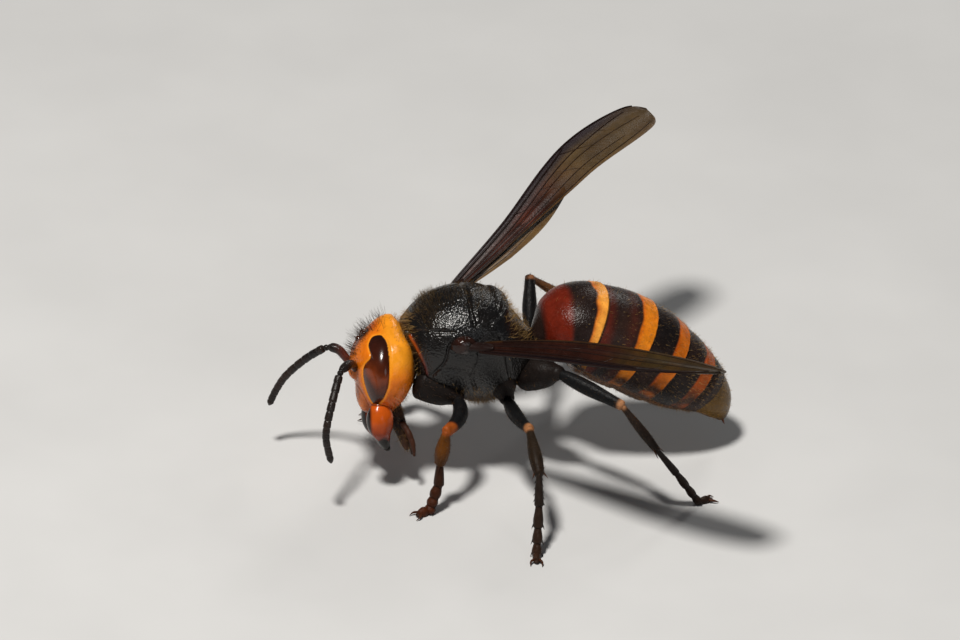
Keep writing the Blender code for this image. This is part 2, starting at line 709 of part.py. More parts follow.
def make_leg(name, joints, clearances, floor):
    """Coxa, femur, tibia with its spurs, and foot."""
    root, hip, knee, ankle, heel, sole = [Vector(joint) for joint in joints]
    pair = name.split("_")[0]
    femur_size, tibia_size, foot_size, spurs = LEG_BUILD[pair]
    coxa = fuse([rounded_tube("coxa", (root, root.lerp(hip, 0.5), hip), COXA_RADII),
                 ball("trochanter", hip, [TROCHANTER_RADIUS] * 3, segments=12, rings=8)])
    cut_all(coxa, clearances)
    finish(coxa, name + "_coxa", "leg_dark")
    femur = limb("femur", hip, knee, [FEMUR_RADIUS * femur_size * value for value in FEMUR_SHAPE],
                 FEMUR_BOWS[pair])
    cut(femur, ball("hip_clearance", hip, [TROCHANTER_RADIUS + GAP] * 3, segments=12, rings=8))
    finish(femur, name + "_femur", "leg_dark")
    tibia = limb("tibia", knee, ankle, [TIBIA_RADIUS * tibia_size * value for value in TIBIA_SHAPE])
    cut(tibia, grown(femur, "knee_clearance"))
    along = (ankle - knee).normalized()
    outward = along.cross(Vector((0, 0, 1))).normalized()
    pieces = [tibia]
    for index in range(spurs):
        offset = outward * (0.22 if index else -0.22)
        start = ankle - along * 0.35 + offset
        pieces.append(spike("spur", start, start + along * 0.75 + offset * 1.6, 0.13, 5))
    tibia = fuse(pieces)
    finish(tibia, name + "_tibia", "leg_brown")
    make_foot(name + "_foot", ankle, heel, sole, foot_size, floor)


def wing_outline(half_chord, thickness, veins, vein_share):
    """Flat blade seen along the wing, its upper face raised in a ridge at each vein."""
    half = thickness / 2
    wide = min(VEIN_HALF_WIDTH, 0.08 * half_chord)
    rear = half_chord - min(0.12, 0.3 * half_chord)
    front = -half_chord + min(0.08, 0.055 * half_chord)
    upper = [(half_chord, 0.0), (rear, half)]
    for place, height in reversed(veins):
        middle = place * half_chord
        rise = height * vein_share
        upper += [(middle + wide, half), (middle, half + rise), (middle - wide, half)]
    upper += [(front, half), (-half_chord, 0.0)]
    lower = [(front, -half), (0.0, -half), (rear, -half)]
    return upper + lower


def blade(name, path, stretch, profile, veins, half_chord, twists, shift_back=0.0, drop=0.0):
    """Long narrow wing blade along a stretch of a path, twisted from the path's root to its end."""
    start, end = stretch
    root_twist, tip_twist = twists
    outward = Vector(path[-1]) - Vector(path[0])
    flat = Vector((outward.x, outward.y, 0)).normalized()
    side = LEFT if outward.y < 0 else RIGHT
    level = Vector((-flat.y, flat.x, 0)) * -side
    sections = []
    for step in range(17):
        share = math.sin(0.5 * math.pi * step / 16) ** 1.1
        place = start + (end - start) * share
        centre = Vector(curve_through(path, place))
        ahead = Vector(curve_through(path, place + 0.01))
        behind = Vector(curve_through(path, place - 0.01))
        along = (ahead - behind).normalized()
        twist = root_twist + (tip_twist - root_twist) * place
        across = Matrix.Rotation(twist, 3, along) @ level
        up = across.cross(along)
        up = up if up.z > 0 else -up
        chord = half_chord * straight_through(profile, share)
        vein_share = 1.0 if share < 0.8 else max(0.0, (1.0 - share) / 0.2)
        outline = wing_outline(chord, WING_THICKNESS, veins, vein_share)
        back = shift_back * min(1.0, HINDWING_SPREAD * share)
        sections.append((centre + across * back + up * drop, across, up, outline))
    finish(loft(name, sections), name, "wing_smoky")


def make_wings():
    for name, path in WING_PATHS.items():
        blade("forewing_" + name, path, (0.0, FOREWING_ENDS[name]), WING_PROFILE, WING_VEINS,
              WING_CHORD / 2, WING_TWISTS[name])
        blade("hindwing_" + name, path, (HINDWING_START, HINDWING_END), HINDWING_PROFILE,
              HINDWING_VEINS, HINDWING_HALF_CHORD, WING_TWISTS[name], HINDWING_BACKS[name],
              -HINDWING_DROP)


def make_tegulae(clearance):
    """Small glossy scales over the wing roots."""
    for side in (LEFT, RIGHT):
        scale = ball("tegula", mirrored(TEGULA_CENTRE, side), TEGULA_RADII, segments=16, rings=10)
        cut(scale, clearance)
        finish(scale, "tegula_" + side_name(side), "tegula_brown")


def make_gaster():
    """Six rings of the abdomen, the last with the sting's tip."""
    gap = GAP / GASTER_LENGTH
    for number, (start, end) in enumerate(zip(GASTER_JOINTS, GASTER_JOINTS[1:]), 1):
        last = number == len(GASTER_JOINTS) - 1
        ring = gaster_ring("ring", start, end if last else end - gap, number == 1)
        if last:
            ring = fuse([ring, spike("sting", STING_ROOT, STING_TIP, STING_RADIUS, 8)])
        finish(ring, "gaster_%d" % number, "gaster_tip" if last else "gaster_banded")


def make_floor_cutter():
    """Block below the floor, which gives each foot its flat."""
    bm = bmesh.new()
    bmesh.ops.create_cube(bm, size=FLOOR_BLOCK)
    bmesh.ops.translate(bm, vec=(0, 0, -FLOOR_BLOCK / 2), verts=bm.verts)
    return object_from(bm, "floor")


def centre_on_floor():
    """Move the parts so that the origin is on the floor below the model's middle."""
    corners = [part.matrix_world @ vertex.co for part in PARTS.objects for vertex in part.data.vertices]
    middle_x = (min(corner.x for corner in corners) + max(corner.x for corner in corners)) / 2
    middle_y = (min(corner.y for corner in corners) + max(corner.y for corner in corners)) / 2
    for group in (PARTS, CUTTERS):
        for part in group.objects:
            part.data.transform(Matrix.Translation((-middle_x, -middle_y, 0)))


def main():
    collar, thorax, rear = make_thorax()
    head_clearances = make_head(collar)
    for side in (LEFT, RIGHT):
        make_mandible(side, head_clearances)
    make_mouthparts(head_clearances)
    for name, paths in ANTENNA_PATHS.items():
        make_antenna(name, paths, head_clearances)
    thorax_clearance = grown(thorax, "thorax_clearance")
    make_tegulae(thorax_clearance)
    make_gaster()
    make_wings()
    floor = make_floor_cutter()
    clearances = [grown(collar, "collar_clearance_2"), thorax_clearance, grown(rear, "rear_clearance_2")]
    for name, joints in LEG_JOINTS.items():
        make_leg(name, joints, clearances, floor)
    centre_on_floor()


main()
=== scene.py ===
"""Looks of a life-size yellow-vented hornet that stands still on its six feet.

Sizes and places are millimetres from a point on the floor below the wing roots,
with the head at -X and the insect's left side at -Y. The shapes follow the same
driving sections as the solids, with finer surfaces, markings, veins and hair.
"""
import math

import bpy
import numpy as np
from mathutils import Matrix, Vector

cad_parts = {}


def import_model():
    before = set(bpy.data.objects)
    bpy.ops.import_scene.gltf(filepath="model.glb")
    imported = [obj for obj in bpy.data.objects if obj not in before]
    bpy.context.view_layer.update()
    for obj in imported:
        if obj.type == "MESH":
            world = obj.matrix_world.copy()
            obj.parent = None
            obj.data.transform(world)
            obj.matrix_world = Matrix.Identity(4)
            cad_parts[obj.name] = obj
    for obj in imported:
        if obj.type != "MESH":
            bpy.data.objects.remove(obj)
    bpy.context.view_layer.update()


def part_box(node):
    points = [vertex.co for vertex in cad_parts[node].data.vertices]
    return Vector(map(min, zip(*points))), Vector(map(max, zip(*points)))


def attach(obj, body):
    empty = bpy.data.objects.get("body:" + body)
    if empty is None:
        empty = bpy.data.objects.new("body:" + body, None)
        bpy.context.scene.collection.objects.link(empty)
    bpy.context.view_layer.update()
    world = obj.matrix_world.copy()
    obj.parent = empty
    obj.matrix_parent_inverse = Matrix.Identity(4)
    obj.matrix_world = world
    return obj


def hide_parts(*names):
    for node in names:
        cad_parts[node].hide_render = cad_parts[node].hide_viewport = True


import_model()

MM = 0.001
LEFT = -1
RIGHT = 1
SIDES = {"left": LEFT, "right": RIGHT}
SEED = 4107

# Driving dimensions, in millimetres
HEAD_WIDTH = 6.4
THORAX_WIDTH = 6.5
GASTER_WIDTH = 6.5
WING_CHORD = 3.3
ANTENNA_RADIUS = 0.28
COXA_RADIUS = 1.0
FEMUR_RADIUS = 0.5
TIBIA_RADIUS = 0.4
TARSUS_RADIUS = 0.29

# The head is tipped and turned to the insect's right about the neck, then shifted
HEAD_ROLL = math.radians(-25)
HEAD_YAW = math.radians(-8)
HEAD_SHIFT = np.array((0.25, -0.05, -0.5))
NECK = np.array((-3.0, 0.0, 8.3))

# Height, middle, half width, reach to the front and to the rear of each level of the head
HEAD_LEVELS = (
    (11.15, -4.28, 0.12, 0.25, 0.22),
    (10.92, -4.28, 0.32, 0.70, 0.45),
    (10.40, -4.30, 0.56, 1.25, 0.85),
    (9.75, -4.42, 0.77, 1.75, 1.33),
    (9.05, -4.52, 0.91, 2.02, 1.72),
    (8.20, -4.60, 1.00, 2.08, 1.98),
    (7.30, -4.60, 1.00, 1.88, 1.95),
    (6.50, -4.65, 0.89, 1.62, 1.68),
    (5.80, -4.75, 0.70, 1.30, 1.40),
    (5.25, -4.90, 0.46, 0.80, 1.00),
)
# How full the oval of each level is at the front and at the rear, where 2 is an ellipse
HEAD_FULLNESS = (2.1, 2.4)

# Place along X, height of the widest level, half width, reach up and down, and lean
THORAX_STATIONS = (
    (-2.95, 8.50, 0.42, 1.60, 1.50, -0.30),
    (-2.55, 8.60, 0.66, 2.00, 2.20, -0.30),
    (-1.80, 8.80, 0.86, 2.45, 3.00, -0.28),
    (-0.80, 9.00, 0.96, 3.00, 3.70, -0.24),
    (0.40, 9.10, 1.00, 3.35, 4.20, -0.16),
    (1.70, 9.10, 0.98, 3.35, 4.30, -0.06),
    (2.75, 8.95, 0.92, 3.00, 4.00, 0.00),
    (3.50, 8.70, 0.83, 2.25, 3.30, 0.06),
    (4.30, 8.40, 0.70, 1.45, 2.40, 0.12),
    (4.95, 8.20, 0.48, 0.85, 1.30, 0.16),
)
THORAX_FULLNESS = (2.15, 2.2)
SOLID_THORAX_SIDES = 26

# Place along X, height, half width and half height of the abdomen's axis
GASTER_STATIONS = (
    (5.40, 8.25, 0.20, 0.55),
    (6.05, 8.75, 0.46, 1.35),
    (6.75, 9.10, 0.76, 2.25),
    (7.70, 9.20, 0.92, 2.75),
    (8.95, 8.92, 0.98, 2.95),
    (10.35, 8.25, 1.00, 3.08),
    (11.80, 7.45, 0.99, 3.05),
    (13.20, 6.45, 0.95, 2.90),
    (14.60, 5.45, 0.86, 2.55),
    (15.90, 4.45, 0.70, 2.05),
    (16.90, 3.45, 0.50, 1.50),
    (17.50, 2.45, 0.28, 0.90),
    (17.80, 1.75, 0.10, 0.35),
)

# Rings that round off an open end, and the share of its cell that a patch of an unwrap fills
CAP_STEPS = 8
PATCH_SHARE = 0.96
ACROSS = np.array([[0, 1.0, 0]])


def curve(rows, shares):
    """Rows of numbers at these shares of the way along a smooth curve through given rows."""
    rows = np.asarray(rows, float)
    spans = len(rows) - 1
    place = np.clip(np.atleast_1d(np.asarray(shares, float)), 0, 1) * spans
    index = np.minimum(place.astype(int), spans - 1)
    t = (place - index)[:, None]
    before, start = rows[np.maximum(index - 1, 0)], rows[index]
    end, after = rows[index + 1], rows[np.minimum(index + 2, spans)]
    bend = 2 * before - 5 * start + 4 * end - after
    twist = 3 * (start - end) + after - before
    return 0.5 * (2 * start + (end - before) * t + bend * t ** 2 + twist * t ** 3)


def fine(line, count=24):
    return curve(line, np.linspace(0, 1, count))


def eased(values, shares):
    """Numbers at these shares of the way along a smooth run of values."""
    return curve(np.asarray(values, float)[:, None], shares)[:, 0]


def unit(vectors):
    return vectors / np.maximum(np.linalg.norm(vectors, axis=-1, keepdims=True), 1e-12)


def smooth(value, low, high):
    """0 below low, 1 above high, and an even S between them."""
    t = np.clip((value - low) / (high - low), 0, 1)
    return t * t * (3 - 2 * t)


def bump(value, middle, width):
    """1 at the middle, falling to 0 on both sides."""
    return np.exp(-((value - middle) / width) ** 2)


def circle(sides):
    return 2 * np.pi * np.arange(sides) / sides


def oval(sides, width, above, below, power_above, power_below):
    """Points around ovals, one row for each width, with their own reach above and below."""
    angles = circle(sides)
    upper = np.sin(angles) >= 0
    power = 2 / np.where(upper, power_above, power_below)
    across, up = (np.sign(value) * np.abs(value) ** power for value in (np.cos(angles), np.sin(angles)))
    return across * width[:, None], up * np.where(upper, above[:, None], below[:, None])


def rings(centres, across, across_way, up, up_way):
    """Rings of points about centres, from offsets along two directions for each ring."""
    return centres[:, None] + across[..., None] * across_way[:, None] + up[..., None] * up_way[:, None]


def thorax_points(shares, sides):
    """Rings of points round the thorax."""
    place, height, width, above, below, lean = curve(THORAX_STATIONS, shares).T
    across, up = oval(sides, width * THORAX_WIDTH / 2, above, below, *THORAX_FULLNESS)
    way = unit(np.stack([lean, 0 * lean, 1 + 0 * lean], -1))
    return rings(np.stack([place, 0 * place, height], -1), across, ACROSS, up, way)


# The frame's origin lies below the middle of the whole model
REAR_REACH = thorax_points([1.0], SOLID_THORAX_SIDES)[..., 0].max()
SYMMETRIC_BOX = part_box("gaster_2")
MIDDLE = np.array((REAR_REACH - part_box("propodeum")[1].x / MM,
                   -(SYMMETRIC_BOX[0].y + SYMMETRIC_BOX[1].y) / 2 / MM, 0.0))


def world(points):
    """Place in the frame, in metres, of points in millimetres from below the wing roots."""
    return (np.asarray(points, float) - MIDDLE) * MM


def mirrored(points, side):
    """Points on the given side of a body that is drawn for the left side."""
    return np.asarray(points, float) * np.array((1, -side, 1))


def turn(angle, axis):
    return np.array(Matrix.Rotation(angle, 3, axis))


TIP = turn(HEAD_YAW, "Z") @ turn(HEAD_ROLL, "X")


def tipped(points):
    """Turn points of the head about the neck by the head's roll and yaw."""
    return (np.asarray(points, float) - NECK) @ TIP.T + NECK + HEAD_SHIFT


def grid_normals(points):
    """Unit normals of rings of points, pointing out."""
    along_ring = np.roll(points, -1, 1) - np.roll(points, 1, 1)
    normals = unit(np.cross(along_ring, np.gradient(points, axis=0)))
    outward = points - points.mean(1, keepdims=True)
    flip = np.sign((normals * outward).sum(-1).mean())
    return normals * (flip if flip else 1)


def distance_to(points, place):
    return np.linalg.norm(points - np.asarray(place), axis=-1)


def distance_to_line(points, line):
    """Shortest distance of each point to a bent line."""
    line = np.asarray(line, float)
    best = np.full(points.shape[:-1], 1e9)
    for start, end in zip(line, line[1:]):
        along = end - start
        share = np.clip(((points - start) @ along) / (along @ along), 0, 1)
        best = np.minimum(best, np.linalg.norm(points - start - share[..., None] * along, axis=-1))
    return best


def near_line(points, line, width):
    """1 on a smooth line, falling to 0 beside it."""
    return bump(distance_to_line(points, fine(line)), 0, width)


def swell(points, normals, centre, radii, blend):
    """How far each point rises along its normal to reach an ellipsoid that stands proud."""
    start = (points - np.asarray(centre)) / np.asarray(radii)
    way = normals / np.asarray(radii)
    a = (way ** 2).sum(-1)
    b = (start * way).sum(-1)
    root = b ** 2 - a * ((start ** 2).sum(-1) - 1)
    reach = np.where(root > 0, (np.sqrt(np.maximum(root, 0)) - b) / a, 0)
    return np.where(reach > 0, np.sqrt(reach ** 2 + blend ** 2) - blend, 0)


def mix(first, second, share):
    """Blend of two colours, or of rows of colours, by a share for each point."""
    share = np.asarray(share)[..., None]
    return np.asarray(first) * (1 - share) + np.asarray(second) * share


def layered(colour, *layers):
    """A colour with others laid over it in turn, each by a share for each point."""
    for shade, share in layers:
        colour = mix(colour, shade, share)
    return colour


NOISE_WAVES = 7
NOISE_PITCH = 2.2


def noise(points, size, seed):
    """Soft random value from -1 to 1 that varies over about this size."""
    rng = np.random.default_rng(SEED + seed)
    total = np.zeros(np.asarray(points).shape[:-1])
    for _ in range(NOISE_WAVES):
        way = unit(rng.normal(size=3)) * rng.uniform(0.7, 1.5) * 2 * np.pi / (NOISE_PITCH * size)
        total += np.sin(np.asarray(points) @ way + rng.uniform(0, 6.3))
    return np.clip(total / (0.6 * NOISE_WAVES), -1, 1)


def blotched(points, first, second, size, seed, contrast=0.6):
    """Colours that wander between two over about this size."""
    return mix(first, second, np.clip(0.5 + contrast * noise(points, size, seed), 0, 1))


def add_mesh(name, points, faces, colours, corner_uvs):
    """Mesh object from places in millimetres, colours of its points and a map of its corners."""
    mesh = bpy.data.meshes.new(name)
    mesh.from_pydata(world(points).tolist(), [], faces.tolist())
    paint = mesh.color_attributes.new("paint", "FLOAT_COLOR", "POINT")
    rgba = np.ones((len(points), 4), np.float32)
    rgba[:, :3] = colours
    paint.data.foreach_set("color", rgba.ravel())
    layer = mesh.uv_layers.new(name="OFBake")
    layer.uv.foreach_set("vector", np.asarray(corner_uvs, np.float32).ravel())
    mesh.shade_smooth()
    made = bpy.data.objects.new(name, mesh)
    bpy.context.scene.collection.objects.link(made)
    return made


def dress(made, finish_name, nodes=()):
    """Give a piece its finish, its body and the solids that it stands for."""
    made.data.materials.append(FINISHES[finish_name])
    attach(made, "root")
    if nodes:
        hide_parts(*nodes)
    return made


def inset(spots):
    """Places on a patch, kept off the edges of its cell."""
    return spots * PATCH_SHARE + (1 - PATCH_SHARE) / 2


def sheet_object(name, sheets, finish_name, nodes=()):
    """One object from pairs of closed rings of points and their colours, which stands for the nodes."""
    places, faces, colours, uvs = [], [], [], []
    patches = math.ceil(math.sqrt(len(sheets)))
    first = 0
    for number, (points, paint) in enumerate(sheets):
        levels, sides = points.shape[:2]
        row, column = (index.ravel() for index in np.indices((levels - 1, sides)))
        corners = np.stack([np.stack([column + right, row + up], -1)
                            for right, up in ((0, 0), (1, 0), (1, 1), (0, 1))], 1)
        faces.append(first + corners[..., 1] * sides + corners[..., 0] % sides)
        spots = inset(corners / np.array((sides, levels - 1)))
        uvs.append(((spots + np.array((number % patches, number // patches))) / patches).reshape(-1, 2))
        places.append(points.reshape(-1, 3))
        colours.append(np.broadcast_to(paint, points.shape).reshape(-1, 3))
        first += levels * sides
    made = add_mesh(name, *(np.concatenate(parts) for parts in (places, faces, colours, uvs)))
    return dress(made, finish_name, nodes)


def close_ends(points, first_bulge, last_bulge, steps=CAP_STEPS):
    """Rings of points with both open ends rounded off, each by its own bulge."""
    angles = np.linspace(0, np.pi / 2, steps + 1)[1:, None, None]
    caps = []
    for ring, inner, bulge in ((points[0], points[1], first_bulge), (points[-1], points[-2], last_bulge)):
        centre = ring.mean(0)
        away = unit(centre - inner.mean(0))
        caps.append(centre + (ring - centre) * np.maximum(np.cos(angles), 0.002)
                    + away * bulge * np.sin(angles))
    return np.concatenate([caps[0][::-1], points, caps[1]])


def with_caps(values, steps=CAP_STEPS):
    """Values of rings, repeated for the rings that close their ends."""
    return np.concatenate([np.repeat(values[:1], steps, 0), values, np.repeat(values[-1:], steps, 0)])


def tube_points(path, radii, sides=20, levels=48, flatten=1.0, flat_way=(0, 0, 1.0)):
    """Rings along a smooth path, round or flattened along one direction."""
    shares = np.linspace(0, 1, levels)
    centres = curve(path, shares)
    sizes = eased(radii, shares)[:, None]
    along = unit(np.gradient(centres, axis=0))
    across = unit(np.cross(along, flat_way))
    angles = circle(sides)
    return rings(centres, np.cos(angles) * sizes, across, np.sin(angles) * flatten * sizes,
                 np.cross(across, along))


def ball_points(centre, radii, sides=32, levels=24):
    """Rings of an ellipsoid from pole to pole."""
    polar = np.linspace(0.02, np.pi - 0.02, levels)[:, None]
    angles = circle(sides)
    ball = np.stack([np.sin(polar) * np.cos(angles), np.sin(polar) * np.sin(angles),
                     np.cos(polar) + 0 * angles], -1)
    return ball * np.asarray(radii) + np.asarray(centre)


def spike_points(root, tip, radius, bend=(0, 0, 0), sides=8, levels=10):
    """Slim, slightly bent cone from its root to a fine tip."""
    root, tip = np.asarray(root, float), np.asarray(tip, float)
    path = np.stack([root, (root + tip) / 2 + np.asarray(bend, float), tip])
    way = (0, 0, 1.0) if abs(unit(tip - root)[2]) < 0.9 else (1.0, 0, 0)
    return close_ends(tube_points(path, (radius, radius * 0.7, radius * 0.12), sides, levels, 1.0, way),
                      0, radius * 0.1, 2)


# Finishes: roughness, strength of the gloss, depth and spacing of the pits, and how mottled the colour is
FINISH_FACTS = {
    "head_cuticle": (0.28, 0.25, 0.010, 5.0, 0.12),
    "thorax_cuticle": (0.17, 0.46, 0.030, 6.5, 0.35),
    "gaster_cuticle": (0.25, 0.14, 0.016, 8.0, 0.22),
    "leg_cuticle": (0.42, 0.11, 0.018, 9.0, 0.25),
    "antenna_cuticle": (0.28, 0.28, 0.010, 14.0, 0.25),
    "jaw_cuticle": (0.16, 0.26, 0.008, 5.0, 0.15),
    "tegula_cuticle": (0.15, 0.32, 0.020, 4.0, 0.25),
    "small_eye_cuticle": (0.08, 0.9, 0.0, 4.0, 0.0),
    "mouth_cuticle": (0.45, 0.2, 0.02, 8.0, 0.3),
}
FINISHES = {}


class Finish:
    """Procedural material, with the short forms that its nodes need. Its scales are per millimetre."""

    def __init__(self, name):
        made = bpy.data.materials.new(name)
        made.use_nodes = True
        FINISHES[name] = made
        self.tree = made.node_tree
        self.shader = self.tree.nodes["Principled BSDF"]
        place = self.add("TexCoord", output="Object")
        self.place = self.add("VectorMath", {"Scale": 1 / MM}, {0: place}, operation="SCALE")

    def add(self, kind, values=(), links=(), output=0, **settings):
        """Output of a new node, from values and links of its inputs and its settings."""
        made = self.tree.nodes.new("ShaderNode" + kind)
        for setting, value in settings.items():
            setattr(made, setting, value)
        for socket, value in dict(values).items():
            made.inputs[socket].default_value = value
        for socket, source in dict(links).items():
            self.tree.links.new(source, made.inputs[socket])
        return made.outputs[output]

    def link(self, source, socket):
        self.tree.links.new(source, self.shader.inputs[socket])

    def set(self, **values):
        """Constant values of the shader's own inputs."""
        for socket, value in values.items():
            self.shader.inputs[socket.replace("_", " ")].default_value = value

    def noise(self, scale):
        return self.add("TexNoise", {"Scale": scale, "Detail": 3.0}, {"Vector": self.place}, "Fac")

    def cells(self, scale):
        return self.add("TexVoronoi", {"Scale": scale}, {"Vector": self.place}, "Distance")

    def noisy(self, scale, low, high):
        """Noise stretched to a range."""
        limits = {"From Min": 0.3, "From Max": 0.7, "To Min": low, "To Max": high}
        return self.add("MapRange", limits, {"Value": self.noise(scale)}, "Result")

    def paint(self, mottle, scale):
        """The marking colour, made lighter and darker by fine noise."""
        paint = self.add("VertexColor", output="Color", layer_name="paint")
        tone = self.noisy(scale, 1 - mottle, 1 + mottle)
        shade = self.add("VectorMath", links={0: paint, "Scale": tone}, operation="SCALE")
        self.link(shade, "Base Color")

    def relief(self, height, depth, strength=1.0):
        """Bump of a depth in millimetres."""
        facts = {"Distance": depth * MM, "Strength": strength}
        self.link(self.add("Bump", facts, {"Height": height}, "Normal"), "Normal")


def make_cuticle(name, roughness, gloss, pit, spacing, mottle):
    """Horny shell: painted markings, uneven gloss and fine pits."""
    finish = Finish(name)
    finish.paint(mottle, spacing * 0.25)
    finish.link(finish.noisy(spacing * 0.5, roughness * 0.75, roughness * 1.3), "Roughness")
    finish.set(Specular_IOR_Level=gloss)
    if pit:
        pits = {0: finish.cells(spacing), 1: finish.noise(spacing * 1.7)}
        finish.relief(finish.add("Math", links=pits, operation="ADD"), pit)


def make_wing_finish(name, alpha, roughness=0.36):
    """Smoky membrane with a fine wrinkled grain."""
    finish = Finish(name)
    finish.paint(0.22, 1.8)
    finish.link(finish.noisy(5.0, roughness * 0.8, roughness * 1.3), "Roughness")
    finish.set(Alpha=alpha, Specular_IOR_Level=0.18)
    finish.relief(finish.noise(9.0), 0.02)


def make_finishes():
    """The shells, the glossy eye with faint facets, the bristles, the wings and the pale floor."""
    for name, facts in FINISH_FACTS.items():
        make_cuticle(name, *facts)
    eye = Finish("eye_lens")
    eye.paint(0.25, 1.6)
    eye.set(Roughness=0.19, IOR=1.40)
    eye.relief(eye.cells(24.0), 0.003, 0.5)
    bristle = Finish("bristle")
    bristle.paint(0.25, 5.0)
    bristle.set(Roughness=0.34, Specular_IOR_Level=0.35)
    make_wing_finish("wing_dark", 1.0)
    make_wing_finish("wing_clear", 0.84)
    floor = Finish("pale_floor")
    tone = floor.noisy(0.08, 0.60, 0.64)
    grey = floor.add("CombineColor", links=dict.fromkeys(("Red", "Green", "Blue"), tone), output="Color")
    floor.link(grey, "Base Color")
    floor.set(Roughness=0.9)


# The camera stands off at the photo's angle; one millimetre covers this many of 960 pixels
CAMERA_AZIMUTH = math.radians(15)
CAMERA_ELEVATION = math.radians(30)
CAMERA_ROLL = math.radians(3)
PIXELS_PER_MM = 16.0
PHOTO_WIDTH = 960
PHOTO_HEIGHT = 640
CAMERA_DISTANCE = 1500.0
SENSOR = 36.0
# The tegula's place on the model and in the photo
SIGHT_POINT = np.array((0.0, -3.0, 10.3))
SIGHT_PIXEL = (464, 345)
# Place of each light, its size and power, and its colour
LIGHTS = {
    "key_light": ((-95, -95, 325), 0.050, 1.30, (1.0, 0.97, 0.92)),
    "fill_light": ((120, -330, 130), 0.12, 0.09, (0.94, 0.97, 1.0)),
    "back_light": ((190, 270, 210), 0.10, 0.20, (1.0, 0.98, 0.94)),
}
LIGHT_TARGET = (4, 0, 7)
FLOOR_REACH = 3.0
SKY_COLOUR = (0.92, 0.96, 1.0, 1)
SKY_STRENGTH = 0.06


def make_camera():
    """Long lens that looks at the model from the photo's side, with the tegula where the photo has it."""
    azimuth, elevation = CAMERA_AZIMUTH, CAMERA_ELEVATION
    across = np.array((math.cos(azimuth), -math.sin(azimuth), 0))
    back = np.array((-math.sin(azimuth) * math.cos(elevation), -math.cos(azimuth) * math.cos(elevation),
                     math.sin(elevation)))
    right = math.cos(CAMERA_ROLL) * across + math.sin(CAMERA_ROLL) * np.cross(back, across)
    top = np.cross(back, right)
    centre = (SIGHT_POINT + right * (PHOTO_WIDTH / 2 - SIGHT_PIXEL[0]) / PIXELS_PER_MM
              - top * (PHOTO_HEIGHT / 2 - SIGHT_PIXEL[1]) / PIXELS_PER_MM)
    data = bpy.data.cameras.new("camera")
    data.sensor_width = SENSOR
    data.lens = SENSOR * CAMERA_DISTANCE / (PHOTO_WIDTH / PIXELS_PER_MM)
    data.clip_start = 0.01
    data.clip_end = 20
    camera = bpy.data.objects.new("camera", data)
    place = np.eye(4)
    place[:3, :3] = np.stack([right, top, back], 1)
    place[:3, 3] = world(centre + back * CAMERA_DISTANCE)
    camera.matrix_world = Matrix(place.tolist())
    bpy.context.scene.collection.objects.link(camera)
    bpy.context.scene.camera = camera


def make_light(name, place, size, power, colour):
    """Round soft light aimed at the middle of the insect."""
    data = bpy.data.lights.new(name, "AREA")
    data.shape = "DISK"
    data.size = size
    data.energy = power
    data.color = colour
    light = bpy.data.objects.new(name, data)
    target = Matrix.Translation(world(LIGHT_TARGET))
    light.location = world(place)
    light.rotation_euler = (light.location - target.translation).to_track_quat("Z", "Y").to_euler()
    bpy.context.scene.collection.objects.link(light)


def make_stage():
    """Plain pale floor and soft studio light."""
    mesh = bpy.data.meshes.new("floor")
    corners = [(x * FLOOR_REACH, y * FLOOR_REACH, 0) for x, y in ((-1, -1), (1, -1), (1, 1), (-1, 1))]
    mesh.from_pydata(corners, [], [(0, 1, 2, 3)])
    mesh.materials.append(FINISHES["pale_floor"])
    floor = bpy.data.objects.new("floor", mesh)
    bpy.context.scene.collection.objects.link(floor)
    for name, facts in LIGHTS.items():
        make_light(name, *facts)
    sky = bpy.data.worlds.new("studio")
    sky.use_nodes = True
    background = sky.node_tree.nodes["Background"]
    background.inputs["Color"].default_value = SKY_COLOUR
    background.inputs["Strength"].default_value = SKY_STRENGTH
    bpy.context.scene.world = sky
    bpy.context.scene.view_settings.view_transform = "Standard"


GOLD = (0.84, 0.30, 0.014)
ORANGE = (0.74, 0.17, 0.006)
DEEP_ORANGE = (0.50, 0.075, 0.004)
RUST = (0.13, 0.018, 0.004)
NEAR_BLACK = (0.010, 0.007, 0.006)
BLACK = (0.006, 0.006, 0.0065)
GOLDEN_HAIR = (0.50, 0.30, 0.09)
BROWN_HAIR = (0.16, 0.075, 0.025)
DARK_HAIR = (0.016, 0.009, 0.006)

# Shield over the mouth, seats of the antennae, small eyes on the crown, and the temples' swelling
SHIELD_CENTRE = (-5.62, 0, 6.45)
SHIELD_RADII = (0.75, 1.45, 1.5)
SEAT_CENTRE = (-6.4, -0.65, 7.75)
SMALL_EYES = ((-5.86, -0.5, 10.00), (-5.86, 0.5, 10.00), (-6.16, 0, 9.65))
SMALL_EYE_RADIUS = 0.2
TEMPLE_CENTRE = (-3.50, -2.70, 9.10)
TEMPLE_RISE = 0.28
TEMPLE_REACH = 0.85
# Grooves of the left cheek and of the brow's middle
CHEEK_GROOVE = ((-5.6, -2.15, 5.9), (-5.0, -2.35, 5.75), (-4.4, -1.9, 5.8))
BROW_GROOVE = ((-6.2, 0, 9.6), (-6.55, 0, 8.9), (-6.68, 0, 8.2))
# Dark streak down the right of the brow, and the middles of the black and red patches at its top
FRONS_STREAK = ((-5.80, 0.45, 10.0), (-6.1, 0.45, 9.6), (-6.35, 0.40, 9.2))
BLACK_PATCH = (-5.80, 0.55, 9.95)
RED_PATCH = (-5.25, 0.75, 10.35)

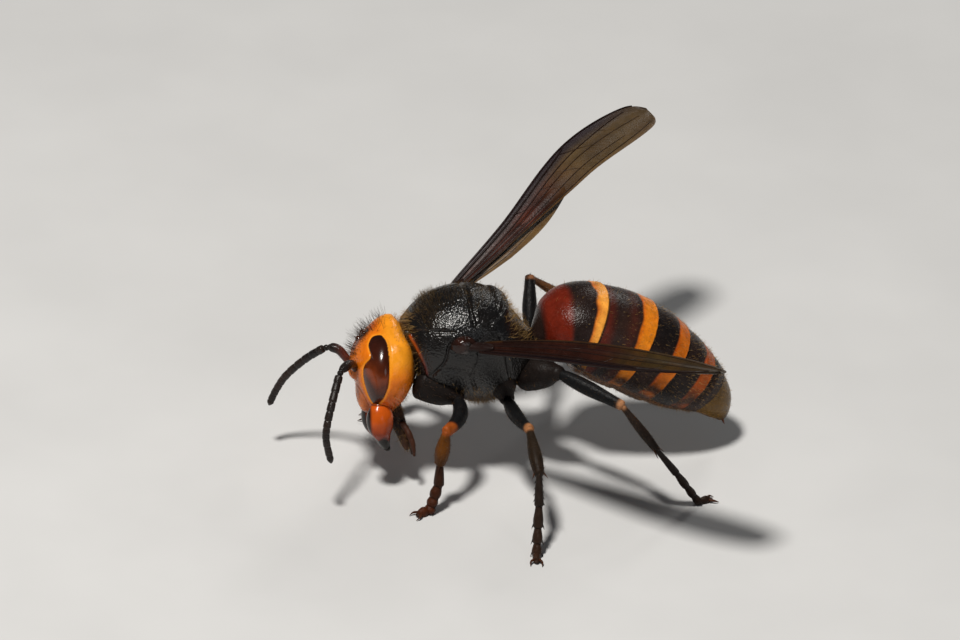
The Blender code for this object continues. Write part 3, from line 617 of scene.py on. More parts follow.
# Outline of the left eye seen from the side: place along X and height, from the top towards the front
EYE_OUTLINE = (
    (-5.02, 10.04), (-5.45, 9.90), (-5.72, 9.46), (-5.69, 9.07), (-5.64, 8.88), (-5.69, 8.62), (-5.93, 8.32),
    (-6.06, 8.00), (-6.06, 7.46), (-5.93, 6.84), (-5.70, 6.20), (-5.44, 5.78), (-5.22, 5.66), (-4.88, 6.00),
    (-4.61, 6.74), (-4.52, 7.48), (-4.50, 8.30), (-4.54, 9.05), (-4.62, 9.62), (-4.80, 9.93),
)
EYE_BULGE = 0.30
EYE_SINK = 0.13
EYE_DEPTH = 0.5


def eye_outline(count=160):
    """Places along X and heights around the eye's outline."""
    closed = np.array(EYE_OUTLINE + EYE_OUTLINE[:3])
    return curve(closed, (1 + np.arange(count) / count * len(EYE_OUTLINE)) / (len(closed) - 1))


def eye_distance(points, side):
    """How far each point of a side of the head lies outside the eye's outline, below zero inside."""
    x, z = points[..., 0], points[..., 2]
    outline = eye_outline()
    closed = np.concatenate([outline, outline[:1]])
    distance = distance_to_line(points[..., (0, 2)], closed)
    inside = np.zeros(x.shape, bool)
    for start, end in zip(closed, closed[1:]):
        along, rise = end - start
        cross = start[0] + (z - start[1]) * along / (rise if rise else 1e-9)
        inside ^= ((start[1] > z) != (end[1] > z)) & (x < cross)
    distance = np.where(inside, -distance, distance)
    return np.where(points[..., 1] * side > 0.3, distance, np.maximum(distance, 1.0))


def head_colours(points):
    """Markings of the head at points that aren't tipped yet."""
    x, y, z = np.moveaxis(points, -1, 0)
    to_right = np.stack([x, np.abs(y), z], -1)
    gena = smooth(x, -5.4, -4.4) * smooth(z, 6.2, 8.9)
    face = smooth(-x, 5.3, 6.0) * (1 - smooth(np.abs(y), 1.0, 2.0))
    frons = near_line(to_right, FRONS_STREAK, 0.50)
    colour = layered(
        mix(DEEP_ORANGE, ORANGE, smooth(z, 5.2, 7.0)),
        (GOLD, np.clip(gena + 0.25 * noise(points, 1.5, 1), 0, 1)),
        (ORANGE, face),
        ((0.075, 0.012, 0.004), np.clip(frons * 0.92 + 0.12 * noise(points, 0.6, 2), 0, 1)),
        ((0.36, 0.050, 0.006), bump(distance_to(to_right, RED_PATCH), 0, 0.40) * 0.8),
        (NEAR_BLACK, np.clip(bump(distance_to(to_right, BLACK_PATCH), 0, 0.50) * 1.3, 0, 1)))
    for side in SIDES.values():
        away = eye_distance(points, side)
        band = smooth(away, 0.17, 0.28) * (1 - smooth(away, 0.45, 0.70)) * smooth(-x, 5.45, 5.75)
        seat = distance_to(points, mirrored(SEAT_CENTRE, side))
        colour = layered(colour, (GOLD, bump(away, 0.04, 0.05) * 0.8),
                         (RUST, band * (1 - smooth(z, 7.9, 8.3)) * 0.45),
                         (NEAR_BLACK, (away < -0.02) * 0.9), (NEAR_BLACK, bump(seat, 0.3, 0.16)))
    return layered(colour, (RUST, smooth(-z, -5.35, -5.0)), (NEAR_BLACK, smooth(x, -3.15, -2.75)))


def head_relief(points, normals):
    """Rise of the shield, temples, antenna seats and eye rims, and the grooves between them."""
    rise = swell(points, normals, SHIELD_CENTRE, SHIELD_RADII, 0.06)
    shield = np.linalg.norm((points - np.array(SHIELD_CENTRE)) / np.array(SHIELD_RADII), axis=-1)
    rise -= 0.07 * bump(shield, 1.08, 0.05) * (points[..., 0] < -5.2)
    rise += 0.02 * noise(points, 0.9, 3)
    for side in SIDES.values():
        temple = distance_to(points, mirrored(TEMPLE_CENTRE, side))
        away = eye_distance(points, side)
        seat = distance_to(points, mirrored(SEAT_CENTRE, side))
        rise += TEMPLE_RISE * bump(temple, 0.0, TEMPLE_REACH)
        rise += (0.015 * bump(away, 0.20, 0.09) - 0.06 * bump(away, 0.02, 0.05)
                 - 0.3 * smooth(-away, 0.0, 0.2))
        rise += 0.22 * bump(seat, 0.42, 0.16) - 0.12 * bump(seat, 0.0, 0.22)
        rise -= 0.07 * near_line(points, mirrored(CHEEK_GROOVE, side), 0.08)
    rise -= 0.08 * near_line(points, BROW_GROOVE, 0.1)
    for place in SMALL_EYES:
        rise -= 0.05 * bump(distance_to(points, place), 0.24, 0.08)
    return rise


def head_surface(levels=230, sides=260):
    """Head rings before they are tipped, with their relief."""
    height, middle, width, front, rear = fine(HEAD_LEVELS, levels).T
    across, ahead = oval(sides, width * HEAD_WIDTH / 2, front, rear, *HEAD_FULLNESS)
    points = np.stack([middle[:, None] - ahead, across, np.repeat(height[:, None], sides, 1)], -1)
    points = close_ends(points, 0.04, 0.42, 12)
    normals = grid_normals(points)
    return points + normals * head_relief(points, normals)[..., None]


def side_surface(place, height):
    """How far out the head's bare side lies at a place along X and a height, both untipped."""
    levels = fine(HEAD_LEVELS, 240)[::-1].T
    middle, width, front, rear = (np.interp(height, levels[0], level) for level in levels[1:])
    ahead = middle - place
    reach = np.where(ahead > 0, front, rear)
    power = np.where(ahead > 0, *HEAD_FULLNESS)
    return width * HEAD_WIDTH / 2 * (1 - np.clip(np.abs(ahead) / reach, 0, 0.999) ** power) ** (1 / power)


def make_head():
    points = head_surface()
    sheet_object("head_skin", [(tipped(points), head_colours(points))], "head_cuticle",
                 ("head",))
    beads = [(tipped(ball_points(place, (SMALL_EYE_RADIUS,) * 3)), (0.05, 0.012, 0.004))
             for place in SMALL_EYES]
    sheet_object("small_eyes", beads, "small_eye_cuticle")
    return points


def make_eye(side, name):
    """Long kidney-shaped lens that swells a little out of the head's side."""
    outline = eye_outline()
    centre = outline.mean(0)
    shares = np.sin(np.linspace(0.004, 1, 70) * np.pi / 2)[:, None]
    x, z = np.moveaxis(centre + (outline - centre) * shares[..., None], -1, 0)
    swelling = EYE_BULGE * np.sqrt(np.clip(1 - shares ** 2.2, 0, 1))
    skin = np.stack([x, (side_surface(x, z) + swelling - EYE_SINK) * side, z], -1)
    points = np.concatenate([skin, skin[::-10] - np.array((0, EYE_DEPTH * side, 0))])
    z = points[..., 2]
    glow = bump(z, 7.4, 0.9) * np.clip(0.6 + 0.5 * noise(points, 0.7, 5), 0, 1)
    colour = layered((0.028, 0.006, 0.003), ((0.24, 0.042, 0.007), glow),
                     ((0.012, 0.004, 0.003), smooth(np.abs(z - 7.95), 1.5, 2.3)))
    sheet_object("eye_lens_" + name, [(tipped(points), colour)], "eye_lens", ("eye_" + name,))


# Left mandible: root, bend and tip, its half widths, thickness, and the direction across it
MANDIBLE_PATH = ((-4.95, -1.55, 5.60), (-4.95, -1.50, 4.60), (-4.75, -1.15, 3.70), (-4.45, -0.75, 2.85))
MANDIBLE_WIDTHS = (0.60, 0.88, 0.80, 0.46, 0.20)
MANDIBLE_THICKNESS = 1.5
MANDIBLE_ACROSS = (-0.85, -0.53, 0)
# Place along the jaw and length of each tooth, and the direction that they point in
TEETH = ((0.80, 0.684), (0.90, 0.646), (0.98, 0.57))
TOOTH_WAY = (0.35, 0.75, -0.45)
TOOTH_RADIUS = 0.24
TONGUE_PATH = ((-4.05, 0.0, 5.40), (-3.70, 0.0, 4.50), (-3.35, 0.0, 3.60), (-3.10, 0.0, 2.75))
TONGUE_RADII = (0.55, 0.54, 0.50, 0.44, 0.38, 0.32, 0.2)
PALP_PATH = ((-3.45, -0.35, 4.4), (-3.05, -0.60, 3.7), (-2.80, -0.68, 3.0), (-2.70, -0.62, 2.3))
PALP_RADII = (0.20, 0.20, 0.17, 0.08)
PALP_JOINTS = 4


def make_mandible(side, name):
    """Broad glossy jaw with a black toothed end and a black front edge, partly its own dark margin and
    partly painted shade.
    """
    shares = np.linspace(0, 1, 90)
    centres = mirrored(curve(MANDIBLE_PATH, shares), side)
    widths = eased(MANDIBLE_WIDTHS, shares)
    along = unit(np.gradient(centres, axis=0))
    up = unit(np.cross(along, mirrored(MANDIBLE_ACROSS, side)))
    across = np.cross(up, along)
    half = MANDIBLE_THICKNESS / 2 * widths / max(MANDIBLE_WIDTHS)
    wide, thick = oval(60, widths, half, half, 2.0, 2.0)
    points = close_ends(rings(centres, wide, across, thick, up), 0.30, 0.12)
    shares = with_caps(shares)[:, None]
    edge = (points - points.mean(1, keepdims=True)) @ across.mean(0)
    ridges = 0.008 * np.sin(edge * 9) * smooth(shares, 0.1, 0.5)
    points = points + grid_normals(points) * ridges[..., None]
    front = points[..., 0].mean(1, keepdims=True) - points[..., 0]
    # The black front edge is partly the jaw's own dark margin and partly painted shade
    colour = layered((0.50, 0.080, 0.006), ((0.21, 0.020, 0.003), smooth(shares, 0.15, 0.7)),
                     (NEAR_BLACK, smooth(shares + 0.08 * np.sin(edge * 6), 0.66, 0.80)),
                     (NEAR_BLACK, smooth(front, 0.52, 0.70)),
                     (NEAR_BLACK, smooth(-shares, -0.02, 0.0) * 0.6))
    sheets = [(tipped(points), colour)]
    for share, reach in TEETH:
        base = mirrored(curve(MANDIBLE_PATH, share)[0], side)
        tooth = spike_points(base, base + mirrored(TOOTH_WAY, side) * reach, TOOTH_RADIUS)
        sheets.append((tipped(tooth), NEAR_BLACK))
    sheet_object("jaw_" + name, sheets, "jaw_cuticle", ("mandible_" + name,))


def make_mouthparts():
    """Tongue and jointed palps that hang behind the jaws."""
    tongue = close_ends(tube_points(TONGUE_PATH, TONGUE_RADII, 32, 70, 0.8, (0, 1.0, 0)), 0, 0.15)
    skin = tipped(tongue)
    sheets = [(skin, blotched(tongue, (0.014, 0.006, 0.004), (0.050, 0.018, 0.007), 0.5, 6, 0.5))]
    shares = np.linspace(0, 1, 60)
    joints = 1 - 0.3 * np.exp(-((shares * PALP_JOINTS % 1 - 0.5) / 0.42) ** 8)
    radii = eased(PALP_RADII, shares) * (1.25 - 0.35 * joints)
    for side in SIDES.values():
        palp = tube_points(mirrored(PALP_PATH, side), radii, 16, 60, 1.0, (0, 1.0, 0))
        sheets.append((tipped(close_ends(palp, 0, 0.05)), (0.045, 0.014, 0.006)))
    sheet_object("tongue_and_palps", sheets, "mouth_cuticle", ("mouthparts",))
    hair_coats(skin, "mouth_brown", 35, (
        ("mouth_hairs", 1, 420, (0.3, 0, -1.0), (0.3, 0.9), (0.12, 0.38), 0.018, (GOLDEN_HAIR, DARK_HAIR),
         0.2, 0.3),))


# Paths of each antenna's first segment and of its whip
ANTENNA_PATHS = {
    "left": (((-6.20, -0.60, 7.62), (-6.85, -1.50, 8.68), (-7.65, -2.35, 8.80)),
             ((-7.90, -2.75, 8.62), (-8.52, -3.90, 7.62), (-9.00, -4.65, 6.31),
              (-9.08, -4.90, 5.30), (-8.73, -5.00, 3.79))),
    "right": (((-6.09, 0.78, 7.03), (-6.89, 1.20, 8.10), (-7.48, 1.60, 8.20)),
              ((-7.80, 1.90, 7.95), (-8.73, 2.60, 6.87), (-9.75, 3.20, 5.45),
               (-10.30, 3.50, 4.25), (-10.66, 3.60, 3.20))),
}
FLAGELLUM_SEGMENTS = 11
SCAPE_SHAPE = (0.62, 0.78, 0.92, 1.0, 1.05, 1.08, 1.0, 0.7)
# Colour at the root of each antenna's first segment; the right one's reddish tone is a painted glint
SCAPE_COLOURS_AND_GLINT = {"left": (0.016, 0.008, 0.007), "right": (0.11, 0.024, 0.014)}
PEDICEL_RADII = (0.2, 0.2, 0.2)


def make_antenna(name):
    """Stout first segment, then the bent whip of ringed segments."""
    scape_path, whip_path = ANTENNA_PATHS[name]
    scape = close_ends(tube_points(scape_path, ANTENNA_RADIUS * np.array(SCAPE_SHAPE), 24, 60), 0, 0.12)
    # The first segment fades to black outwards from its root colour, the right one's root being a painted
    # glint
    colour = mix(SCAPE_COLOURS_AND_GLINT[name], (0.012, 0.008, 0.007), smooth(-scape[..., 0], 6.4, 7.4))
    pedicel = ball_points((np.array(scape_path[-1]) + np.array(whip_path[0])) / 2, PEDICEL_RADII)
    sheet_object("scape_" + name, [(scape, colour), (pedicel, NEAR_BLACK)],
                 "antenna_cuticle", ("antenna_" + name + "_scape",))
    shares = np.linspace(0, 1, 12 * FLAGELLUM_SEGMENTS + 1)
    within = shares * FLAGELLUM_SEGMENTS % 1
    pinch = 1 - 0.16 * bump(np.minimum(within, 1 - within), 0, 0.07)
    radii = ANTENNA_RADIUS * pinch * (0.98 - 0.16 * shares) * (0.92 + 0.10 * within)
    radii[-8:] *= np.linspace(1, 0.55, 8)
    whip = close_ends(tube_points(whip_path, radii, 22, len(shares)), 0.03, 0.1)
    paint = blotched(whip, (0.008, 0.007, 0.007), (0.022, 0.013, 0.010), 0.8, 7, 0.5)
    sheet_object("whip_" + name, [(whip, paint)], "antenna_cuticle",
                 ("antenna_" + name + "_flagellum",))


# Lines on the thorax's left side, which repeat on the right
COLLAR_EDGE = ((-3.04, -1.21, 10.20), (-2.70, -2.05, 9.64), (-2.30, -2.42, 8.73), (-2.15, -2.45, 7.9))
COLLAR_REAR = ((-0.80, -2.95, 10.45), (-1.00, -2.95, 10.12), (-1.07, -3.02, 9.62), (-1.29, -2.99, 8.97),
               (-1.68, -2.81, 8.40), (-2.1, -2.45, 7.6))
# Sutures on the left side: line, width and depth, for the back's front plate, the hump's front and rear,
# the collar, the side and flank, the rear plate and the back's furrow
SIDE_SUTURES = (
    (((-3.16, -0.76, 10.31), (-2.48, -1.45, 10.65), (-1.41, -2.31, 10.97),
      (-0.55, -2.60, 11.05)), 0.09, 0.17),
    (((0.75, 0.0, 12.46), (0.73, -0.63, 12.41), (0.70, -1.31, 12.23), (0.68, -1.90, 11.92),
      (0.78, -2.49, 11.38)), 0.11, 0.21),
    (((3.10, 0.0, 11.75), (2.85, -1.0, 11.70), (2.45, -1.75, 11.50), (1.80, -2.35, 11.30)), 0.13, 0.20),
    (COLLAR_REAR, 0.10, 0.17),
    (((0.9, -3.1, 10.3), (0.95, -3.2, 9.2), (0.6, -3.1, 8.1), (0.9, -2.9, 7.0)), 0.12, 0.14),
    (((-1.2, -3.0, 8.6), (-0.2, -3.15, 8.5), (0.7, -3.15, 8.3)), 0.15, 0.09),
    (((2.35, -2.75, 10.6), (2.75, -2.95, 9.4), (3.0, -2.85, 8.2), (3.2, -2.4, 7.0)), 0.11, 0.14),
    (((-2.3, -0.75, 11.2), (-0.5, -0.95, 12.3), (0.6, -1.1, 12.3)), 0.09, 0.05),
)
# Sutures down the middle of the back and of the rear
MIDDLE_SUTURES = (
    (((-2.6, 0, 11.0), (-1.2, 0, 12.0), (0.7, 0, 12.45)), 0.07, 0.06),
    (((3.3, 0, 10.9), (4.2, 0, 9.8), (5.0, 0, 8.9)), 0.2, 0.12),
)
SCUTELLUM_CENTRE = (2.62, 0, 11.35)
SCUTELLUM_RADII = (0.9, 1.9, 0.9)
WAIST_PATH = ((4.6, 0, 8.35), (5.2, 0, 8.30), (5.8, 0, 8.45))
WAIST_RADII = (0.75, 0.42, 0.6)
TEGULA_CENTRE = (-0.05, -3.12, 10.35)
TEGULA_RADII = (0.80, 0.50, 0.60)


def thorax_colours(points):
    """Black, browner below, with an orange-red line along the collar's front edge and a painted pale
    highlight along its rear edge.
    """
    height = points[..., 2]
    colour = mix(blotched(points, (0.004, 0.004, 0.0045), (0.008, 0.006, 0.005), 1.2, 8, 0.5),
                 (0.012, 0.008, 0.005), smooth(-height, -7.5, -5.5))
    line = mix((0.40, 0.070, 0.006), (0.10, 0.010, 0.004), smooth(-height, -9.7, -8.6))
    for side in SIDES.values():
        # The pale brown line along the collar's rear edge is a painted highlight
        colour = layered(colour, (line, near_line(points, mirrored(COLLAR_EDGE, side), 0.10)),
                         ((0.10, 0.045, 0.020), near_line(points, mirrored(COLLAR_REAR, side), 0.06) * 0.8))
    return colour


def thorax_surface(levels=300, sides=280):
    """Thorax rings with the plates' bulges and the sutures between them."""
    points = close_ends(thorax_points(np.linspace(0, 1, levels), sides), 0.25, 0.42, 12)
    normals = grid_normals(points)
    rise = swell(points, normals, SCUTELLUM_CENTRE, SCUTELLUM_RADII, 0.05) + 0.03 * noise(points, 1.1, 9)
    for side in SIDES.values():
        for line, width, depth in SIDE_SUTURES:
            rise -= depth * near_line(points, mirrored(line, side), width)
        rise += 0.05 * near_line(points, mirrored(COLLAR_EDGE, side), 0.12)
    for line, width, depth in MIDDLE_SUTURES:
        rise -= depth * near_line(points, line, width)
    return points + normals * rise[..., None]


def make_thorax():
    """Thorax and the short stalk between it and the abdomen."""
    points = thorax_surface()
    waist = tube_points(WAIST_PATH, WAIST_RADII, 32, 24)
    sheet_object("thorax_skin", [(points, thorax_colours(points)), (waist, NEAR_BLACK)],
                 "thorax_cuticle", ("pronotum", "mesothorax", "propodeum"))
    return points


def make_tegula(side, name):
    """Small glossy scale over the wing root, with a thin upturned rim."""
    points = ball_points((0, 0, 0), TEGULA_RADII, 90, 70)
    x, z = points[..., 0], points[..., 2]
    rim = bump(np.abs(z) + np.abs(x) * 0.5, 0.52, 0.08)
    points = points * (1 + 0.04 * rim - 0.03 * bump(x, 0.1, 0.15))[..., None] + mirrored(TEGULA_CENTRE, side)
    paint = blotched(points, (0.006, 0.004, 0.003), (0.028, 0.008, 0.005), 0.45, 10)
    sheet_object("wing_scale_" + name, [(points, paint)], "tegula_cuticle",
                 ("tegula_" + name,))


# Where each visible ring of the abdomen ends, as shares of its stations on the side and on the top
RING_ENDS = ((0.296, 0.330), (0.472, 0.487), (0.592, 0.612), (0.720, 0.736), (0.782, 0.795))
RING_STEP = 0.11
FIRST_RING_STEP = 0.02
# Start and end of each pale band on the side and on the top, and its colour
BANDS = (
    ((0.266, 0.299), (0.296, 0.330), (0.76, 0.31, 0.045)),
    ((0.422, 0.438), (0.472, 0.487), (0.70, 0.205, 0.011)),
    ((0.545, 0.563), (0.592, 0.612), (0.54, 0.130, 0.008)),
    ((0.672, 0.690), (0.720, 0.736), (0.34, 0.065, 0.006)),
)
STING_ROOT = (17.62, 0, 2.15)
STING_TIP = (18.0, 0, 1.2)


def gaster_points(shares, sides):
    """Rings of points round the abdomen."""
    x, z, width, height = curve(GASTER_STATIONS, shares).T
    slope = curve(GASTER_STATIONS, shares + 0.01) - curve(GASTER_STATIONS, shares - 0.01)
    along = unit(np.stack([slope[:, 0], 0 * slope[:, 0], slope[:, 1]], -1))
    up = np.stack([-along[:, 2], 0 * along[:, 2], along[:, 0]], -1)
    up = up * np.where(up[:, 2:3] < 0, -1, 1)
    across, rise = oval(sides, width * GASTER_WIDTH / 2, height, height, 2.0, 2.0)
    return rings(np.stack([x, 0 * x, z], -1), across, ACROSS, rise, up)


def at_height(pair, lift):
    """Share of the abdomen's length that moves from its side value to its top value."""
    return pair[0] + (pair[1] - pair[0]) * np.clip(lift, 0, 1)


def gaster_ground(share, lift, points):
    """Colours between the bands: blackish, red on the first ring and behind the first band."""
    first_red = smooth(share, 0.02 + 0.10 * lift, 0.06 + 0.10 * lift)
    first_red = first_red * (1 - smooth(share, 0.188 + 0.03 * lift, 0.212 + 0.03 * lift))
    second_red = smooth(share, 0.300 + 0.03 * lift, 0.31 + 0.03 * lift) * (1 - smooth(share, 0.322, 0.36))
    return layered(blotched(points, (0.009, 0.007, 0.007), (0.026, 0.013, 0.010), 1.6, 12),
                   ((0.135, 0.013, 0.005), first_red * smooth(lift, -0.5, 0.0) * 0.9),
                   ((0.10, 0.014, 0.007), second_red * 0.8),
                   ((0.11, 0.018, 0.008), bump(share, 0.405, 0.018) * 0.25))


def gaster_colours(share, lift, points):
    """Markings of the abdomen, with painted shade low on the bands, by the share along it, and the sine of
    the angle round it.
    """
    wobble = 0.004 * noise(points, 0.8, 11)
    colour = gaster_ground(share, lift, points)
    # The bands darken on the lower side, more so towards the rear: painted shade, broken up by noise
    below = smooth(0.4 * smooth(share, 0.4, 0.7) - lift, 0.05, 0.60)
    painted_band_shade = np.clip(below * (0.9 + 0.5 * noise(points, 0.4, 20)), 0, 1)
    for start, end, shade in BANDS:
        first, last = at_height(start, lift), at_height(end, lift)
        inside = smooth(share + wobble, first - 0.004, first + 0.004)
        inside = inside * (1 - smooth(share, last - 0.001, last + 0.003))
        edge = np.clip(bump(share, first, 0.010) * 0.6 + 0.2 * noise(points, 0.7, 13), 0, 1)
        colour = mix(colour, layered(shade, (DEEP_ORANGE, edge), ((0.050, 0.016, 0.006), painted_band_shade)), inside)
    last = at_height(RING_ENDS[-1], lift)
    last_ring = smooth(share, last - 0.002, last + 0.004)
    tail = mix((0.13, 0.062, 0.002), (0.060, 0.026, 0.002), smooth(share, 0.90, 1.0))
    belly = blotched(points, (0.060, 0.022, 0.009), (0.15, 0.06, 0.016), 1.2, 14)
    return layered(colour, (tail, last_ring), (belly, smooth(-lift, 0.60, 0.72) * (1 - 0.4 * last_ring)))


def gaster_relief(share, lift):
    """Each ring swells to its rear edge, which stands a step above the next ring."""
    rise = np.zeros(share.shape)
    start = np.zeros(share.shape)
    for pair in RING_ENDS:
        end = at_height(pair, lift)
        within = (share - start) / np.maximum(end - start, 1e-6)
        ring = 0.02 * smooth(within, 0.93, 1.0) - RING_STEP * (1 - smooth(within, -0.05, 0.55))
        rise = np.where((share >= start) & (share < end), ring, rise)
        start = end
    within = (share - start) / (1 - start)
    rise = np.where(share >= start, -RING_STEP * (1 - smooth(within, -0.05, 0.5)), rise)
    first_ring = share < at_height(RING_ENDS[0], lift)
    return np.where(first_ring, np.maximum(rise, -FIRST_RING_STEP), rise)


def make_gaster(levels=520, sides=220):
    """Banded abdomen with overlapping rings above and belly plates below."""
    shares = np.linspace(0, 1, levels)
    points = gaster_points(shares, sides)
    share, lift = np.meshgrid(shares, np.sin(circle(sides)), indexing="ij")
    rise = gaster_relief(share, lift) + 0.012 * noise(points, 1.4, 15)
    rise = rise - 0.05 * smooth(-lift, 0.62, 0.68) * (1 - smooth(share, 0.80, 0.88))
    taper = np.minimum(smooth(share, 0, 0.02), 1 - smooth(share, 0.97, 1.0))
    colours = gaster_colours(share, lift, points)
    points = points + grid_normals(points) * (rise * taper)[..., None]
    sting = spike_points(STING_ROOT, STING_TIP, 0.17, (0.02, 0, 0), 16, 20)
    sheet_object("abdomen_skin", [(close_ends(points, 0.15, 0.1), with_caps(colours)),
                                  (sting, (0.10, 0.024, 0.006))],
                 "gaster_cuticle", ["gaster_%d" % n for n in range(1, 7)])
    return points, share, lift


SOLE_HEIGHT = 0.2
SOLE_LENGTH = 0.75
# Joints of each leg: root, end of the coxa, knee, ankle, end of the first foot segment and sole
LEG_JOINTS = {
    "foreleg_left": ((-2.10, -1.50, 6.95), (-0.15, -2.40, 6.15), (-1.50, -5.50, 5.60),
                     (-1.79, -5.40, 3.35), (-1.87, -5.65, 1.95), (-2.45, -5.90, SOLE_HEIGHT)),
    "midleg_left": ((2.70, -1.40, 7.20), (3.05, -2.60, 5.95), (3.42, -7.10, 6.25),
                    (3.32, -10.30, 4.93), (3.21, -11.10, 3.16), (2.95, -12.15, SOLE_HEIGHT)),
    "hindleg_left": ((4.60, -1.50, 7.00), (6.00, -3.50, 8.05), (9.40, -6.70, 7.20),
                     (11.45, -8.10, 4.60), (12.80, -7.95, 2.75), (14.50, -7.50, SOLE_HEIGHT)),
    "foreleg_right": ((-2.10, 1.50, 6.95), (-0.30, 2.50, 6.00), (-1.90, 5.40, 6.00),
                      (-2.20, 5.50, 3.40), (-2.50, 5.70, 1.90), (-2.95, 5.85, SOLE_HEIGHT)),
    "midleg_right": ((2.20, 1.40, 7.00), (2.80, 2.60, 5.90), (2.30, 6.80, 6.90),
                     (2.00, 9.90, 4.80), (1.90, 10.70, 2.90), (1.70, 11.75, SOLE_HEIGHT)),
    "hindleg_right": ((4.60, 1.50, 7.00), (5.85, 3.20, 7.10), (6.35, 5.60, 9.70),
                      (9.65, 7.60, 6.50), (11.10, 8.40, 4.00), (13.00, 9.20, SOLE_HEIGHT)),
}
# Thickness of each pair's femur, tibia and foot against the sizes above, how many spurs it has,
# how its femur bows, and where the knee's colour, partly a painted highlight, starts on it
LEG_BUILD = {
    "foreleg": (1.10, 1.20, 1.35, 1, (0.55, 0, -0.10), 0.80),
    "midleg": (1.02, 1.12, 1.22, 2, (-0.15, 0, -0.10), 0.93),
    "hindleg": (1.05, 0.80, 1.00, 2, (0, 0, 0), 0.93),
}
# Colours of each leg: knee, pale partly as a painted highlight, tibia near the knee, tibia's far end, first
# foot segment, last one
LEG_COLOURS = {
    "foreleg_left": ((0.27, 0.060, 0.009), (0.105, 0.033, 0.003), (0.065, 0.022, 0.003),
                     (0.026, 0.009, 0.004), (0.055, 0.014, 0.005)),
    "midleg_left": ((0.30, 0.125, 0.050), (0.018, 0.011, 0.006), (0.017, 0.010, 0.006),
                    (0.016, 0.010, 0.007), (0.030, 0.014, 0.008)),
    "hindleg_left": ((0.38, 0.175, 0.080), (0.018, 0.011, 0.008), (0.014, 0.009, 0.007),
                     (0.014, 0.009, 0.007), (0.022, 0.011, 0.007)),
    "foreleg_right": ((0.32, 0.065, 0.010), (0.125, 0.032, 0.004), (0.075, 0.023, 0.004),
                      (0.040, 0.011, 0.003), (0.085, 0.022, 0.007)),
    "midleg_right": ((0.30, 0.12, 0.08), (0.045, 0.018, 0.008), (0.030, 0.014, 0.008),
                     (0.018, 0.010, 0.007), (0.035, 0.014, 0.008)),
    "hindleg_right": ((0.36, 0.15, 0.07), (0.20, 0.075, 0.018), (0.020, 0.011, 0.008),
                      (0.014, 0.009, 0.007), (0.022, 0.011, 0.007)),
}
# Radii along each segment against its own radius
COXA_SHAPE = (1.15, 1.08, 0.9, 0.5)
FEMUR_SHAPE = (0.58, 0.86, 1.0, 1.02, 0.92, 0.78, 0.70)
TIBIA_SHAPE = (0.60, 0.74, 0.92, 1.06, 1.12, 1.02, 0.86)
FIRST_TOE_SHAPE = (0.68, 0.76, 0.86, 0.95, 1.02, 1.06)
TOE_SHAPE = (0.70, 0.80, 0.96, 1.08, 1.02)
SOLE_SHAPE = (0.55, 0.72, 0.92, 1.02, 0.80)
TROCHANTER_RADII = (0.50, 0.46, 0.46)
TOE_JOINTS = (0.0, 0.44, 0.75, 1.0)
SEGMENT_CAP_STEPS = 6
KNEE_BLEND = 0.06
SPUR_RADIUS = 0.07
TOE_SPINE_RADIUS = 0.045
HEEL_SPINES = 10
HEEL_SPINE_RADIUS = 0.028
CLAW_RADIUS = 0.10
PAD_RADII = (0.17, 0.17, 0.11)


def segment_points(start, end, radius, shape, bow=(0, 0, 0), sides=28, levels=56, flatten=0.86):
    """Rounded leg segment between two joints."""
    shares = np.linspace(0, 1, 7)
    path = start + (end - start) * shares[:, None] + np.sin(np.pi * shares)[:, None] * np.array(bow)
    way = (1.0, 0, 0.2) if abs(unit(end - start)[0]) < 0.8 else (0, 1.0, 0)
    radii = radius * np.array(shape)
    return close_ends(tube_points(path, radii, sides, levels, flatten, way), radii[0] * 0.5, radii[-1] * 0.5,
                      SEGMENT_CAP_STEPS)


def share_along(points, start, end):
    return (points - start) @ (end - start) / ((end - start) @ (end - start))


def make_leg(name):
    """Coxa, trochanter and femur in one piece, tibia, spurs, foot and claws in the other."""
    root, hip, knee, ankle, heel, sole = np.array(LEG_JOINTS[name])
    femur_size, tibia_size, foot_size, spurs, bow, knee_start = LEG_BUILD[name.split("_")[0]]
    knee_colour_and_highlight, tibia_colour, ankle_colour, foot_colour, toe_colour = LEG_COLOURS[name]
    coxa = segment_points(root, hip, COXA_RADIUS, COXA_SHAPE, sides=36, flatten=0.95)
    femur = segment_points(hip, knee, FEMUR_RADIUS * femur_size, FEMUR_SHAPE, bow)
    share = share_along(femur, hip, knee)
    # The femur's end and the tibia's root take the knee's colour, partly a painted highlight
    femur_paint = mix(BLACK, knee_colour_and_highlight, smooth(share, knee_start, knee_start + KNEE_BLEND))
    sheet_object(name + "_thigh", [(coxa, NEAR_BLACK), (ball_points(hip, TROCHANTER_RADII), NEAR_BLACK),
                                   (femur, femur_paint)],
                 "leg_cuticle", (name + "_coxa", name + "_femur"))
    tibia = segment_points(knee, ankle, TIBIA_RADIUS * tibia_size, TIBIA_SHAPE)
    share = share_along(tibia, knee, ankle)
    sheets = [(tibia, layered(knee_colour_and_highlight, (tibia_colour, smooth(share, 0.02, 0.12)),
                              (ankle_colour, smooth(share + 0.1 * noise(tibia, 0.6, 16), 0.45, 0.95))))]
    sheets += spur_sheets(knee, ankle, spurs)
    sheets += foot_sheets(ankle, heel, sole, TARSUS_RADIUS * foot_size, foot_colour, toe_colour)
    sheet_object(name + "_shin", sheets, "leg_cuticle", (name + "_tibia", name + "_foot"))
    return coxa, femur, tibia


def spur_sheets(knee, ankle, spurs):
    """Spurs at the tibia's end, the first in front and the second behind."""
    along = unit(ankle - knee)
    outward = unit(np.cross(along, (0, 0, 1.0)))
    sheets = []
    for offset in (outward * -0.2, outward * 0.2)[:spurs]:
        start = ankle - along * 0.25 + offset
        spur = spike_points(start, start + along * 0.70 + offset * 1.5, SPUR_RADIUS)
        sheets.append((spur, (0.045, 0.016, 0.006)))
    return sheets


